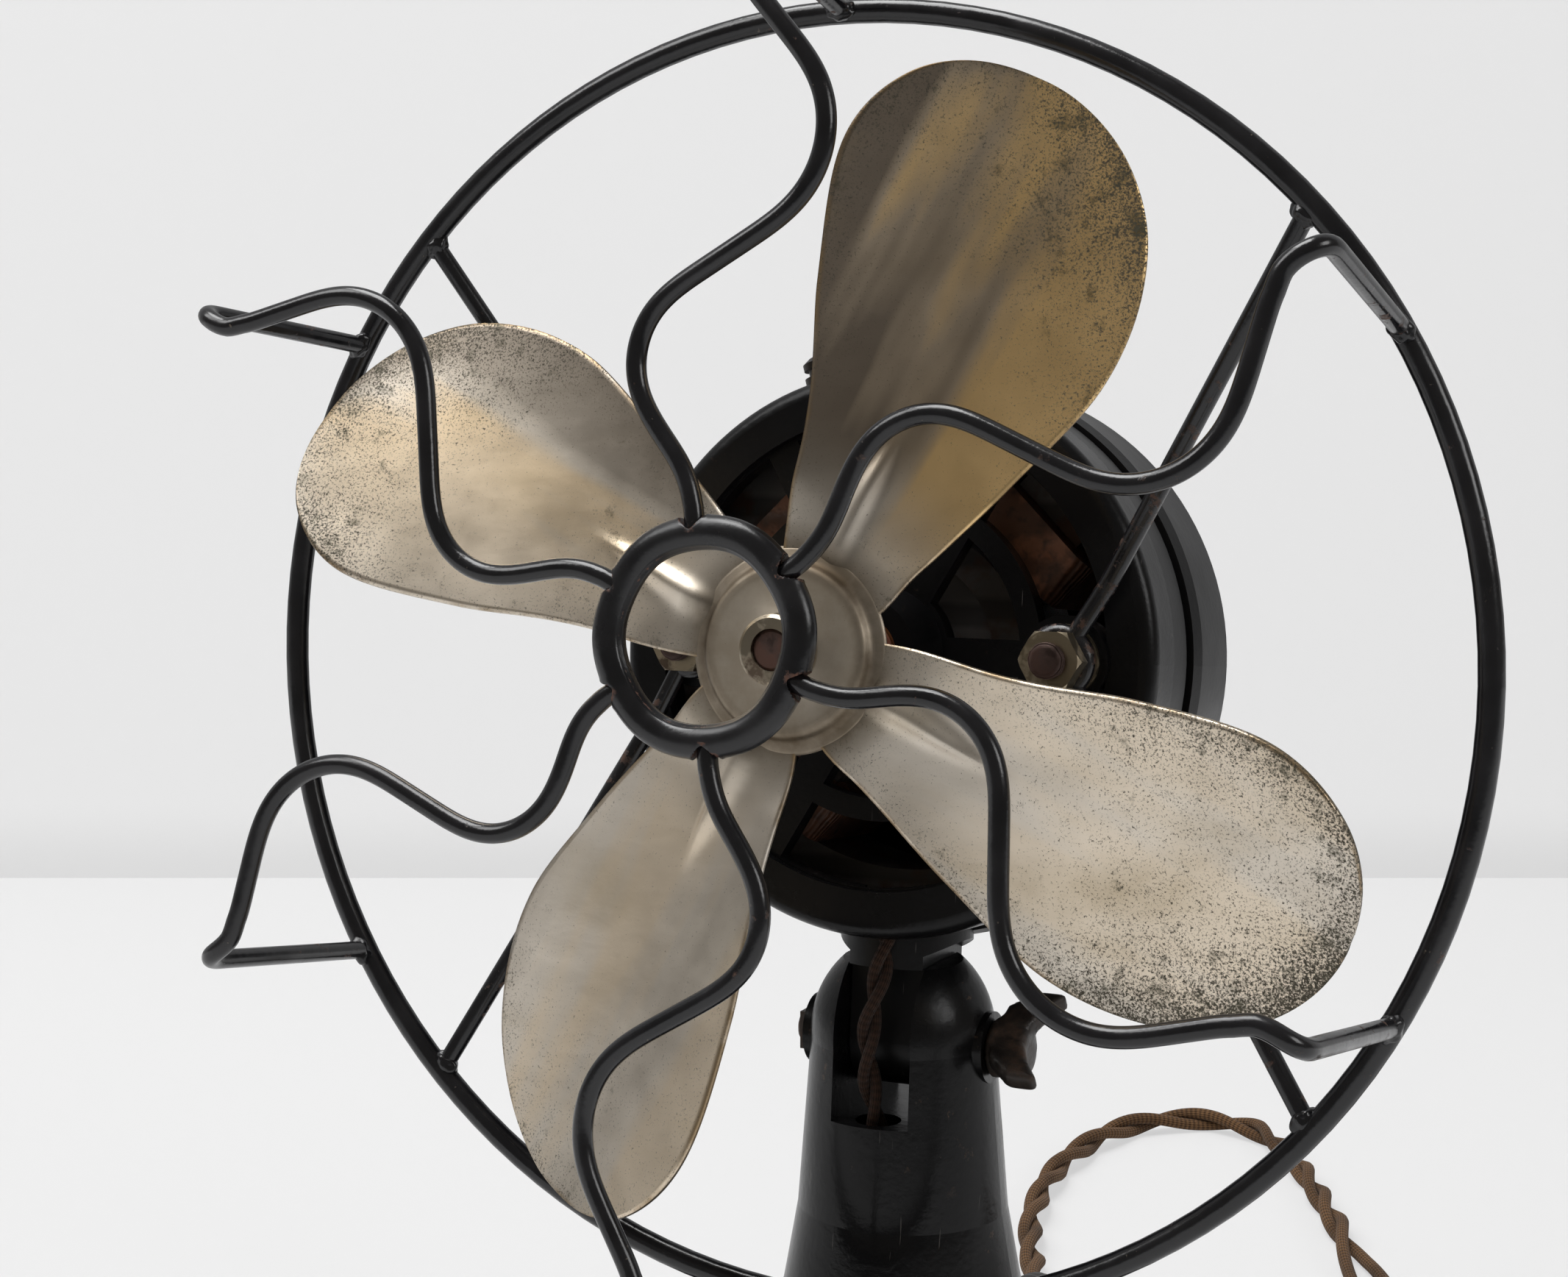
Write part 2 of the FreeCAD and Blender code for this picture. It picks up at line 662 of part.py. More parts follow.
def front_bell():
    """Front casting: rim, open web of spokes and a ring rib, bearing boss and two stud bosses."""
    body = new_body("front_bell", head)
    web_front = face_place - web_recess
    web_back = web_front - web_thickness
    bush_seat = bush_radius + seat_clearance / 2
    turn(body, "casting", [
        (motor_radius, bell_back),
        (motor_radius, face_place - bell_round, bell_round),
        (motor_radius - bell_round, face_place),
        (window_radius, face_place),
        (window_radius, web_front),
        (bearing_boss_radius + 1.5, web_front),
        (bearing_boss_radius - 1, bush_front),
        (bush_seat, bush_front),
        (bush_seat, web_back - 3),
        (bearing_boss_radius, web_back - 3),
        (bearing_boss_radius, web_back),
        (motor_radius - motor_wall, web_back),
        (motor_radius - motor_wall, bell_back),
    ])
    gap = Size(FULL_TURN / SPOKES / 2)
    for name, inner, outer in (("inner", bearing_boss_radius + 2.5, rib_inner),
                               ("outer", rib_outer, window_radius - 0.5)):
        sketch = new_sketch(body, name + "_window_outline", "XY_Plane", web_front + 1)
        sketch.AttachmentOffset = FreeCAD.Placement(V(0, 0, (web_front + 1).value),
                                                    FreeCAD.Rotation(UP, gap.value))
        window(sketch, inner, outer, gap)
        hole = cut_pocket(body, name + "_window", sketch, web_thickness + 1.5)
        repeat_round(body, name + "_windows", hole, sketch, SPOKES)
    for name, sign in (("right", 1), ("left", -1)):
        boss = new_sketch(body, name + "_boss_outline", "XY_Plane", web_back)
        draw_circle(boss, stud_place * sign, 0, stud_boss_radius)
        raise_pad(body, name + "_boss", boss, boss_top - web_back)
    for name, sign in (("right", 1), ("left", -1)):
        bore = new_sketch(body, name + "_stud_outline", "XY_Plane", boss_top + 1)
        draw_circle(bore, stud_place * sign, 0, stud_radius + seat_clearance)
        cut_pocket(body, name + "_stud_hole", bore, boss_top - web_back + 2)
    exit_hole = new_sketch(body, "lead_hole_outline", "XZ_Plane", window_radius - 2)
    draw_circle(exit_hole, 0, lead_exit, lead_radius + seat_clearance * 2)
    lead_hole = cut_pocket(body, "lead_hole", exit_hole, motor_radius - window_radius + 4)
    lead_hole.Reversed = True
    doc.recompute()
    return body


def stator_housing():
    """Drum round the stator, with a groove, a fuller rear part, and the stem and tongue under it."""
    body = new_body("stator_housing", head)
    bore = motor_radius - motor_wall
    step = bell_back - groove_place
    turn(body, "drum", [
        (bore, bell_back),
        (motor_radius, bell_back),
        (motor_radius, step),
        (motor_radius - groove_depth, step),
        (motor_radius - groove_depth, step - groove_width),
        (bulge_radius - 0.8, step - groove_width),
        (bulge_radius, step - groove_width - 3),
        (bulge_radius, housing_back + 3),
        (bulge_radius - 0.8, housing_back),
        (bore, housing_back),
    ])
    # Stem and tongue run from inside the drum's wall down to the pivot
    tongue_half = fork_slot_width / 2 - fork_clearance
    stem = new_sketch(body, "stem_outline", "XZ_Plane", axis_height)
    draw_circle(stem, 0, 0, stem_radius)
    post = raise_pad(body, "stem", stem, axis_height - motor_radius + motor_wall - 0.4)
    post.Reversed = True
    # The stem's front is cut back where the front bell sits over it
    seat = new_sketch(body, "bell_room_outline", "XY_Plane", bell_back)
    draw_circle(seat, 0, 0, motor_radius + fork_clearance)
    room = cut_pocket(body, "bell_room", seat, stem_radius)
    room.Reversed = True
    # The stem stops clear of the fork's ears, on a circle about the pivot
    dome = root(fork_top_radius * fork_top_radius + fork_top_rise * fork_top_rise)
    clear = dome + tilt_clearance
    for name, sign in (("right", 1), ("left", -1)):
        start = tongue_half if sign > 0 else -tongue_half
        ear = new_sketch(body, name + "_ear_room_outline", "YZ_Plane", start)
        draw_circle(ear, -axis_height, 0, clear)
        cut = cut_pocket(body, name + "_ear_room", ear, stem_radius)
        cut.Reversed = sign > 0
    end = new_sketch(body, "tongue_end_outline", "YZ_Plane", -tongue_half)
    draw_circle(end, -axis_height, 0, tongue_radius)
    raise_pad(body, "tongue_end", end, tongue_half * 2)
    # Below the ears' tops the tongue is no deeper than its round end
    for name, sign in (("front", 1), ("back", -1)):
        cheek = new_sketch(body, name + "_cheek_outline", "YZ_Plane", -(stem_radius + 1))
        near = tongue_radius if sign > 0 else -tongue_radius
        far = (stem_radius + 1) if sign > 0 else -(stem_radius + 1)
        rise = -axis_height + fork_top_rise - 1
        draw_loop(cheek, [(-axis_height - 1, near), (rise, near), (rise, far), (-axis_height - 1, far)])
        cheek_cut = cut_pocket(body, name + "_cheek", cheek, stem_radius * 2 + 2)
        cheek_cut.Reversed = True
    bore = new_sketch(body, "pivot_bore_outline", "YZ_Plane", Size(OVERCUT))
    draw_circle(bore, -axis_height, 0, screw_radius + pivot_clearance)
    cut_pocket(body, "pivot_bore", bore, Size(2 * OVERCUT))
    doc.recompute()
    return body


def rear_bell():
    """Domed rear casting with its bearing boss, a ring of vents and the rear stud bosses."""
    body = new_body("rear_bell", head)
    bush_seat = bush_radius + seat_clearance / 2
    turn(body, "casting", [
        (bulge_radius - 0.8, housing_back, -rear_curve),
        (rear_flat_radius, rear_face),
        (bearing_boss_radius, rear_face),
        (bearing_boss_radius - 1, bush_rear),
        (bush_seat, bush_rear),
        (bush_seat, rear_face + 9),
        (bearing_boss_radius, rear_face + 9),
        (bearing_boss_radius, rear_face + motor_wall),
        (rear_flat_radius - 1, rear_face + motor_wall, rear_curve - motor_wall),
        (motor_radius - motor_wall, housing_back),
    ])
    for name, sign in (("right", 1), ("left", -1)):
        boss = new_sketch(body, name + "_boss_outline", "XY_Plane", rear_seat)
        draw_circle(boss, stud_place * sign, 0, stud_boss_radius)
        raise_pad(body, name + "_boss", boss, rear_depth - 4)
    for name, sign in (("right", 1), ("left", -1)):
        bore = new_sketch(body, name + "_stud_outline", "XY_Plane", housing_back + 1)
        draw_circle(bore, stud_place * sign, 0, stud_radius + seat_clearance)
        cut_pocket(body, name + "_stud_hole", bore, rear_depth + 4)
    vents = new_sketch(body, "vent_outline", "XY_Plane", housing_back)
    vents.AttachmentOffset = FreeCAD.Placement(V(0, 0, housing_back.value), FreeCAD.Rotation(UP, 30))
    draw_circle(vents, vent_circle, 0, vent_radius)
    vent = cut_pocket(body, "vent", vents, rear_depth + 3)
    repeat_round(body, "vents", vent, vents, VENTS)
    return body


def bushes():
    """Plain bronze bushes pressed into the two bearing bosses."""
    for label, front, back in (("front_bush", bush_front, bell_back - 1), ("rear_bush", rear_face + 9, bush_rear)):
        body = new_body(label, head)
        turn(body, "bush", [
            (shaft_radius + shaft_clearance, back), (bush_radius, back), (bush_radius, front),
            (shaft_radius + shaft_clearance, front)])


def oil_cup():
    """Small oiler standing on the front bell's rim."""
    turned = oil_cup_angle.value - 90
    place = head.multiply(moved(0, 0, bell_back + bell_depth / 2, UP, turned)).multiply(
        FreeCAD.Placement(V(0, 0, 0), FreeCAD.Rotation(V(1, 0, 0), -90)))
    body = new_body("oil_cup", place)
    start = motor_radius - 0.1
    turn(body, "cup", [
        (Size(0), start), (oil_cup_radius, start), (oil_cup_radius, start + 1.5),
        (oil_cup_radius - 1, start + 1.5), (oil_cup_radius - 1, start + 3),
        (oil_cup_radius - 0.2, start + 3), (oil_cup_radius - 0.2, start + 4.2),
        (oil_cup_radius - 1.6, start + oil_cup_reach), (Size(0), start + oil_cup_reach)])


def stator():
    """Laminated yoke with four poles, and a wound coil round each pole."""
    body = new_body("stator_core", head)
    low = core_place - core_length / 2
    high = core_place + core_length / 2
    outer = motor_radius - motor_wall
    turn(body, "yoke", [(yoke_inner, low), (outer, low), (outer, high), (yoke_inner, high)])
    pole = new_sketch(body, "pole_outline", "XY_Plane", low)
    pole.AttachmentOffset = FreeCAD.Placement(V(0, 0, low.value), FreeCAD.Rotation(UP, 45))
    half = pole_width / 2
    face = root(bore_radius * bore_radius - half * half)
    draw_loop(pole, [(face, -half, bore_radius), (face, half), (yoke_inner + 1, half), (yoke_inner + 1, -half)])
    pad = raise_pad(body, "pole", pole, core_length)
    repeat_round(body, "poles", pad, pole, POLES)
    coils = []
    gap = coil_clearance.value
    inner_half = half.value + gap
    inner_long = core_length.value / 2 + gap
    outer_half = inner_half + coil_thickness.value
    outer_long = inner_long + coil_thickness.value
    depth = coil_high.value - coil_low.value
    for number in range(POLES):
        block = Part.makeBox(depth, outer_half * 2, outer_long * 2,
                             V(coil_low.value, -outer_half, core_place.value - outer_long))
        upright_edges = [edge for edge in block.Edges if abs(edge.tangentAt(edge.FirstParameter).x) > 0.9]
        block = block.makeFillet(coil_thickness.value * 0.8, upright_edges)
        opening = Part.makeBox(depth + 2, inner_half * 2, inner_long * 2,
                               V(coil_low.value - 1, -inner_half, core_place.value - inner_long))
        coil = block.cut(opening)
        coil.rotate(V(0, 0, 0), UP, 45 + FULL_TURN / POLES * number)
        coils.append(coil)
    solid_piece("field_coils", Part.makeCompound(coils), head)


def rotor():
    """Shaft, squirrel-cage core and thrust washers."""
    shaft = new_body("rotor_shaft", head)
    front = collar_front - shaft_recess
    turn(shaft, "shaft", [
        (Size(0), bush_rear + 0.5), (shaft_radius - 0.4, bush_rear + 0.5), (shaft_radius, bush_rear + 1),
        (shaft_radius, front - 0.5), (shaft_radius - 0.5, front), (Size(0), front)])
    core = new_body("rotor_core", head)
    low = core_place - core_length / 2
    high = core_place + core_length / 2
    skin = bore_radius - air_gap
    turn(core, "core", [
        (shaft_radius, low), (skin - 6, low), (skin - 6, low - end_ring_height), (skin, low - end_ring_height),
        (skin, high + end_ring_height), (skin - 6, high + end_ring_height), (skin - 6, high),
        (shaft_radius, high)])
    washers = []
    for number, place in enumerate((bush_front + end_float, rear_face + 9 + end_float)):
        ring = cylinder("washer_disc_%d" % number, washer_radius, thrust_thickness, moved(0, 0, place))
        hole = cylinder("washer_hole_%d" % number, shaft_radius, thrust_thickness, moved(0, 0, place))
        washer = doc.addObject("Part::Cut", "thrust_washer_%d" % number)
        washer.Base = ring
        washer.Tool = hole
        washers.append(washer)
    group("thrust_washers", washers, head)


# --- Fan ------------------------------------------------------------------------------------------

def blade_outline(radius):
    """Plan of one blade, seen along the shaft: (share of the tip radius, angle off its middle line)."""
    trailing = [(0.17, 33.1), (0.35, 23.9), (0.60, 22.3), (0.82, 20.0)]
    tip = [(0.945, 14.5), (0.992, 9.0), (1.0, 5.0), (0.99, -0.5), (0.945, -6.6), (0.86, -13.0)]
    leading = [(0.66, -21.4), (0.44, -25.5), (0.25, -31.5), (0.17, -40.1)]
    points = []
    for share, angle in trailing + tip + leading:
        turned = math.radians(angle)
        points.append(V(radius * share * math.cos(turned), radius * share * math.sin(turned), 0))
    curve = Part.BSplineCurve()
    curve.interpolate(points)
    closing = Part.LineSegment(points[-1], points[0])
    return Part.Face(Part.Wire([curve.toShape(), closing.toShape()]))


def blade_sheet():
    """Cambered sheet for one blade along X: nearly flat at the hub, steeper towards the tip."""
    reach = tip_radius.value * 1.05
    half = tip_radius.value * 0.62
    rows = []
    for row in range(9):
        along = reach * row / 8
        share = along / tip_radius.value
        slope = math.tan(math.radians(blade_pitch.value + blade_twist.value * (share - 0.5)))
        middle = hub_disc_place.value - blade_set_back.value - blade_lean.value * share
        line = []
        for column in range(13):
            across = half * (column - 6) / 6
            rise = slope * across + across * across / (2 * blade_camber.value)
            line.append(V(along, across, middle + rise))
        rows.append(line)
    surface = Part.BSplineSurface()
    surface.interpolate(rows)
    return surface.toShape()


def fan():
    """Four blades and the stepped hub disc pressed from one sheet, on a turned hub with a set screw."""
    disc = hub_disc_place.value
    gauge = sheet_metal.value
    step = hub_step.value
    skirt = hub_skirt_radius.value
    inner = hub_disc_radius.value
    bore = collar_radius.value
    section = [V(bore, 0, disc - gauge), V(bore, 0, disc), V(inner, 0, disc), V(inner + gauge, 0, disc - step),
               V(skirt, 0, disc - hub_drop.value), V(skirt, 0, disc - hub_drop.value - 2 * gauge),
               V(inner, 0, disc - step - 2 * gauge), V(inner - gauge, 0, disc - gauge)]
    wire = Part.makePolygon(section + [section[0]])
    spider = Part.Face(wire).revolve(V(0, 0, 0), UP, FULL_TURN)
    prism = blade_outline(tip_radius.value)
    prism.translate(V(0, 0, disc - OVERCUT))
    prism = prism.extrude(V(0, 0, 2 * OVERCUT))
    sheet = blade_sheet()
    sheet.translate(V(0, 0, -gauge / 2))
    blade = sheet.extrude(V(0, 0, gauge)).common(prism)
    blade = max(blade.Solids, key=lambda item: item.Volume)
    blade.rotate(V(0, 0, 0), UP, blade_turn.value)
    for number in range(BLADES):
        copy = blade.copy()
        copy.rotate(V(0, 0, 0), UP, FULL_TURN / BLADES * number)
        spider = spider.fuse(copy)
    solid_piece("fan_blade", spider.removeSplitter(), head)
    hub = new_body("blade_hub", head)
    back = hub_disc_place - sheet_metal - hub_bush_length
    turn(hub, "hub", [
        (shaft_radius, back), (hub_bush_radius, back), (hub_bush_radius, hub_disc_place - sheet_metal),
        (collar_radius, hub_disc_place - sheet_metal), (collar_radius, collar_front - 0.6),
        (collar_radius - 0.6, collar_front), (shaft_radius, collar_front)])
    hole = new_sketch(hub, "set_screw_outline", "YZ_Plane", Size(0))
    screw_place = back + hub_bush_length / 3
    draw_circle(hole, 0, screw_place, set_screw_radius + seat_clearance / 2)
    cut = cut_pocket(hub, "set_screw_hole", hole, Size(OVERCUT))
    cut.Reversed = True
    screw = cylinder("set_screw", set_screw_radius, hub_bush_radius - shaft_radius - 0.3,
                     moved(0, 0, 0))
    keep(screw, "set_screw", head.multiply(moved(shaft_radius, 0, screw_place, V(0, 1, 0), 90)))


# --- Guard ----------------------------------------------------------------------------------------

def hex_prism(x, y, low, flats, thickness, bore):
    """Hexagon nut lying across the shaft's direction, flat against what it clamps."""
    corner = flats / math.sqrt(3)
    points = [V(x + corner * math.cos(math.radians(60 * n)), y + corner * math.sin(math.radians(60 * n)), low)
              for n in range(6)]
    prism = Part.Face(Part.makePolygon(points + [points[0]])).extrude(V(0, 0, thickness))
    limit = Part.makeCone(corner + thickness * 0.6, corner * 0.9, thickness, V(x, y, low), UP)
    hole = Part.makeCylinder(bore, thickness + 2, V(x, y, low - 1))
    return prism.common(limit).cut(hole)


def guard_fixings():
    """Two long studs through the motor, with washers and nuts in front and nuts behind."""
    studs = []
    fronts = []
    backs = []
    washers = []
    tail = rear_seat - hex_thickness - stud_end
    bore = stud_radius.value + 0.02
    for number, sign in enumerate((1, -1)):
        x = stud_place.value * sign
        studs.append(cylinder("stud_%d" % number, stud_radius, stud_front - tail, moved(x, 0, tail)))
        fronts.append(hex_prism(x, 0, nut_place.value, hex_flats.value, hex_thickness.value, bore))
        backs.append(hex_prism(x, 0, (rear_seat - hex_thickness).value, hex_flats.value,
                               hex_thickness.value, bore))
        disc = Part.makeCylinder(flat_washer_radius.value, flat_washer_thickness.value, V(x, 0, boss_top.value))
        hole = Part.makeCylinder(bore, flat_washer_thickness.value, V(x, 0, boss_top.value))
        washers.append(disc.cut(hole))
    group("guard_studs", studs, head)
    solid_piece("guard_nuts", Part.makeCompound(fronts), head)
    solid_piece("rear_nuts", Part.makeCompound(backs), head)
    solid_piece("guard_washers", Part.makeCompound(washers), head)


def guard_rings():
    """Heavy rear ring and the small rolled ring in front that the curved wires start from."""
    ring = doc.addObject("Part::Torus", "guard_ring")
    ring.setExpression("Radius1", ring_radius.text)
    ring.setExpression("Radius2", ring_wire.text)
    keep(ring, "guard_ring", guard.multiply(ring_seat))
    ellipse = Part.Ellipse(V(hub_ring_radius.value, 0, guard_depth.value), hub_ring_wide.value,
                           hub_ring_deep.value)
    section = ellipse.toShape()
    section.rotate(V(hub_ring_radius.value, 0, guard_depth.value), V(1, 0, 0), 90)
    hub = Part.Face(Part.Wire(section)).revolve(V(0, 0, 0), UP, FULL_TURN)
    solid_piece("guard_hub_ring", hub, guard)


def ring_point(radius, angle, rise):
    """A point near the rear ring, in the frame of the hub ring and the front wires."""
    turned = math.radians(angle)
    return ring_seat.multVec(V(radius * math.cos(turned), radius * math.sin(turned), rise))


# Each wire's angle at the hub ring, at its front corner and at the rear ring, its corner's radius over
# the ring's, and how far its two bends stand off its own line, as shares of that line's length
WIRES = [(97.3, 89.4, 89.8, 1.012, 0.205, 0.277), (36.9, 32.3, 29.7, 1.006, 0.181, 0.285),
         (-21.1, -29.3, -28.9, 0.978, 0.195, 0.300), (-84.6, -93.3, -91.0, 0.980, 0.205, 0.222),
         (-148.6, -147.5, -147.5, 0.983, 0.186, 0.298), (154.1, 152.5, 150.8, 1.020, 0.178, 0.282)]


def guard_wires():
    """Six S-shaped wires: out from the hub ring, over a front corner and back to the rear ring."""
    level = guard_depth.value
    rounds = [hub_bend_round, crest_round, trough_round, shoulder_round, corner_round]
    for number, (hub_angle, corner_angle, foot_angle, spread, crest, trough) in enumerate(WIRES):
        outward = moved(0, 0, 0, UP, hub_angle).multVec(V(1, 0, 0))
        start = outward * hub_ring_radius.value + UP * level
        outside = moved(0, 0, 0, UP, corner_angle).multVec(V(1, 0, 0))
        corner = outside * (ring_radius.value * spread) + UP * level
        run = corner - start
        side = V(run.y, -run.x, 0)
        foot = ring_point(ring_radius.value, foot_angle, ring_wire.value - braze_depth.value)
        points = [start, start + outward * (run.Length * 0.085), start + run * 0.31 - side * crest,
                  start + run * 0.62 + side * trough, corner - outside * (run.Length * 0.078), corner, foot]
        path = rounded_path(points, [bend.value for bend in rounds])
        solid_piece("guard_wire_%d" % (number + 1), round_wire(path, guard_wire.value), guard)


def guard_struts():
    """Two V-shaped struts: an eye on each stud, its two legs brazed inside the rear ring."""
    behind = eye_place.value - ring_place.value
    end = ring_radius.value - ring_wire.value * 0.7
    for label, sign, feet in (("guard_strut_right", 1, (42.3, -39.9)), ("guard_strut_left", -1, (138.3, -133.6))):
        centre = V(sign * stud_place.value, -guard_lift.value, behind)
        strut = Part.makeTorus(eye_radius.value, strut_wire.value, centre, UP)
        for foot in feet:
            outer = ring_point(end, foot, 0)
            flat = V(outer.x - centre.x, outer.y - centre.y, 0).normalize()
            begin = centre + flat * eye_radius.value
            bend = centre + flat * (eye_radius.value * 3.2)
            path = rounded_path([begin, bend, outer], [eye_radius.value * 2.4])
            strut = strut.fuse(round_wire(path, strut_wire.value))
        solid_piece(label, strut.removeSplitter(), guard)


# --- Cords ----------------------------------------------------------------------------------------

def motor_lead():
    """Twisted lead from the motor's underside, down in front of the tongue into the base."""
    reach = axis_height.value
    forward = lead_exit.value
    points = [V(0, lead_tuck.value - motor_radius.value, forward), V(0, lead_bend_rise.value - reach, forward),
              V(0, lead_end_rise.value - reach, forward - lead_radius.value * 0.75),
              V(0, -lead_end_rise.value / 2 - reach, forward - lead_radius.value * 1.08)]
    rounds = [lead_radius.value * 5.8, lead_radius.value * 6.7]
    solid_piece("motor_lead", round_wire(rounded_path(points, rounds), lead_radius.value), head)


CORD_ROUTE = [(0, 50, 15.0), (0, 64, 15.0), (0, 78, 14.2), (-6, 99, 7.0), (-17, 124, 3.3),
              (-28, 154, 3.3), (-35, 189, 3.3), (-35, 219, 3.3), (-30, 243, 3.3), (-16.5, 258.5, 3.3),
              (3.5, 258.5, 3.3), (17, 242, 3.3), (28, 214, 3.3), (39, 188, 3.3), (48, 162, 3.3),
              (56, 138, 3.3), (62, 118, 3.3), (66, 98, 3.3)]
TAIL_ROUTE = [(109, 45.0, 19.0), (131, 42, 17.0), (152, 53.5, 13.6), (160, 76, 12.2)]


def cord_tube(label, route):
    """Tube along a route, each arc as large as its two runs allow."""
    points = [V(*point) for point in route]
    radii = []
    for number in range(1, len(points) - 1):
        back = points[number - 1] - points[number]
        ahead = points[number + 1] - points[number]
        half = (math.radians(180.0) - back.getAngle(ahead)) / 2
        radii.append(0.45 * min(back.Length, ahead.Length) / math.tan(half))
    path = rounded_path(points, radii)
    tube = round_wire(path, cord_radius.value)
    expected = path.Length * math.pi * cord_radius.value ** 2
    print(label, "length %.1f radii" % path.Length, ["%.0f" % radius for radius in radii],
          "volume share %.4f" % (tube.Volume / expected))
    solid_piece(label, tube, ground)


def supply_cord():
    """Gland in the foot, cord along the table, its spare length in a coil, and the plug."""
    across = FreeCAD.Placement(V(0, gland_out.value, gland_height.value), FreeCAD.Rotation(V(1, 0, 0), 90))
    gland = new_body("cord_gland", across)
    bore = cord_radius + seat_clearance
    turn(gland, "gland", [
        (bore, Size(0.3)), (gland_radius - 0.8, Size(0.3)), (gland_radius, Size(2)),
        (gland_radius, gland_length), (bore, gland_length)])
    cord_tube("cord", CORD_ROUTE)
    coil = new_body("cord_coil", moved(coil_centre_x, coil_centre_y, 0.2))
    side = cord_radius * 2
    tall = side * coil_layers
    corner = cord_radius * 0.8
    turn(coil, "coil", [
        (coil_radius - side + corner, Size(0)), (coil_radius + side - corner, Size(0), corner * 1.01),
        (coil_radius + side, corner), (coil_radius + side, tall - corner, corner * 1.01),
        (coil_radius + side - corner, tall), (coil_radius - side + corner, tall, corner * 1.01),
        (coil_radius - side, tall - corner), (coil_radius - side, corner, corner * 1.01)])
    cord_tube("cord_tail", TAIL_ROUTE)
    tail_end = V(*TAIL_ROUTE[-1])
    plug_place = FreeCAD.Placement(tail_end, FreeCAD.Rotation(V(1, 0, 0), -90))
    plug = new_body("plug_body", plug_place)
    turn(plug, "plug", [
        (Size(0), Size(0)), (cord_radius + 1.6, Size(0)), (cord_radius + 3, Size(5)),
        (plug_radius - 1.5, Size(11)), (plug_radius, Size(13.5)), (plug_radius, plug_length - 1),
        (plug_radius - 1, plug_length), (Size(0), plug_length)])
    blades = []
    for number, sign in enumerate((1, -1)):
        blade = doc.addObject("Part::Box", "plug_blade_%d" % number)
        blade.setExpression("Length", plug_blade_thickness.text)
        blade.setExpression("Width", plug_blade_width.text)
        blade.setExpression("Height", plug_blade_length.text)
        blade.Placement = moved(sign * blade_gap.value / 2 - plug_blade_thickness.value / 2,
                                -plug_blade_width.value / 2, plug_length.value)
        blades.append(blade)
    group("plug_blades", blades, plug_place)


base_column()
base_fittings()
clamp_screw()
switch()
front_bell()
stator_housing()
rear_bell()
bushes()
oil_cup()
stator()
rotor()
fan()
guard_fixings()
guard_rings()
guard_wires()
guard_struts()
motor_lead()
supply_cord()
doc.recompute()

failed = [item.Name for item in doc.Objects if "Invalid" in item.State or "Error" in item.State]
for piece in pieces:
    if piece.Shape.isNull() or not piece.Shape.isValid() or not piece.Shape.Solids:
        failed.append(piece.Label)
if failed:
    raise RuntimeError("failed objects: %s" % failed)

os.makedirs("parts", exist_ok=True)
for piece in pieces:
    piece.Shape.exportStep("parts/%s.step" % piece.Label)
print(len(pieces), "pieces")
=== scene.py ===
import bpy
import math
from mathutils import Matrix, Vector, noise


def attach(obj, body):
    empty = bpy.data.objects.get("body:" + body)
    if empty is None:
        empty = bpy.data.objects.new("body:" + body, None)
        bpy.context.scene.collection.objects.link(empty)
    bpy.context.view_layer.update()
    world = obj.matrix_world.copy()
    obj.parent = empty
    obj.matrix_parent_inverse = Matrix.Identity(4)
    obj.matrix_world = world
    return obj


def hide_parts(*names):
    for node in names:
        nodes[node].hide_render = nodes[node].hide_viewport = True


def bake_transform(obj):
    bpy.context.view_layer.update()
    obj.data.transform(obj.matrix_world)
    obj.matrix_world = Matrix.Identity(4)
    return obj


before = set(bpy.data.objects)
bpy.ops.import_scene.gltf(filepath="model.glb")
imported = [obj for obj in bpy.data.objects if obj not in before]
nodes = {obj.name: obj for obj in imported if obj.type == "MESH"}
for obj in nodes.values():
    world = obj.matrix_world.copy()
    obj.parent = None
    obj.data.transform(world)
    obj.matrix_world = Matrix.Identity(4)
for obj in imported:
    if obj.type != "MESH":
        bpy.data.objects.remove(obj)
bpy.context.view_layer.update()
bpy.ops.object.select_all(action="DESELECT")


# --- Studio ---------------------------------------------------------------------------------------
# A white table against a white wall that is clear from its back, so it hides nothing, with one large
# soft light from the upper left, a weaker one from the right and one above, in a pale room.

def feed(tree, item, *in_order, **named):
    """Gives a node's inputs other nodes' outputs or plain values; base_color is the input Base Color."""
    pairs = list(zip(item.inputs, in_order))
    for name, value in named.items():
        pairs.append((item.inputs[name.replace("_", " ").title().replace("Ior", "IOR")], value))
    for socket, value in pairs:
        if isinstance(value, bpy.types.NodeSocket):
            tree.links.new(value, socket)
        else:
            socket.default_value = value


def new_node(tree, kind, *in_order, **named):
    """A node of the given kind with its inputs fed."""
    item = tree.nodes.new("ShaderNode" + kind)
    feed(tree, item, *in_order, **named)
    return item


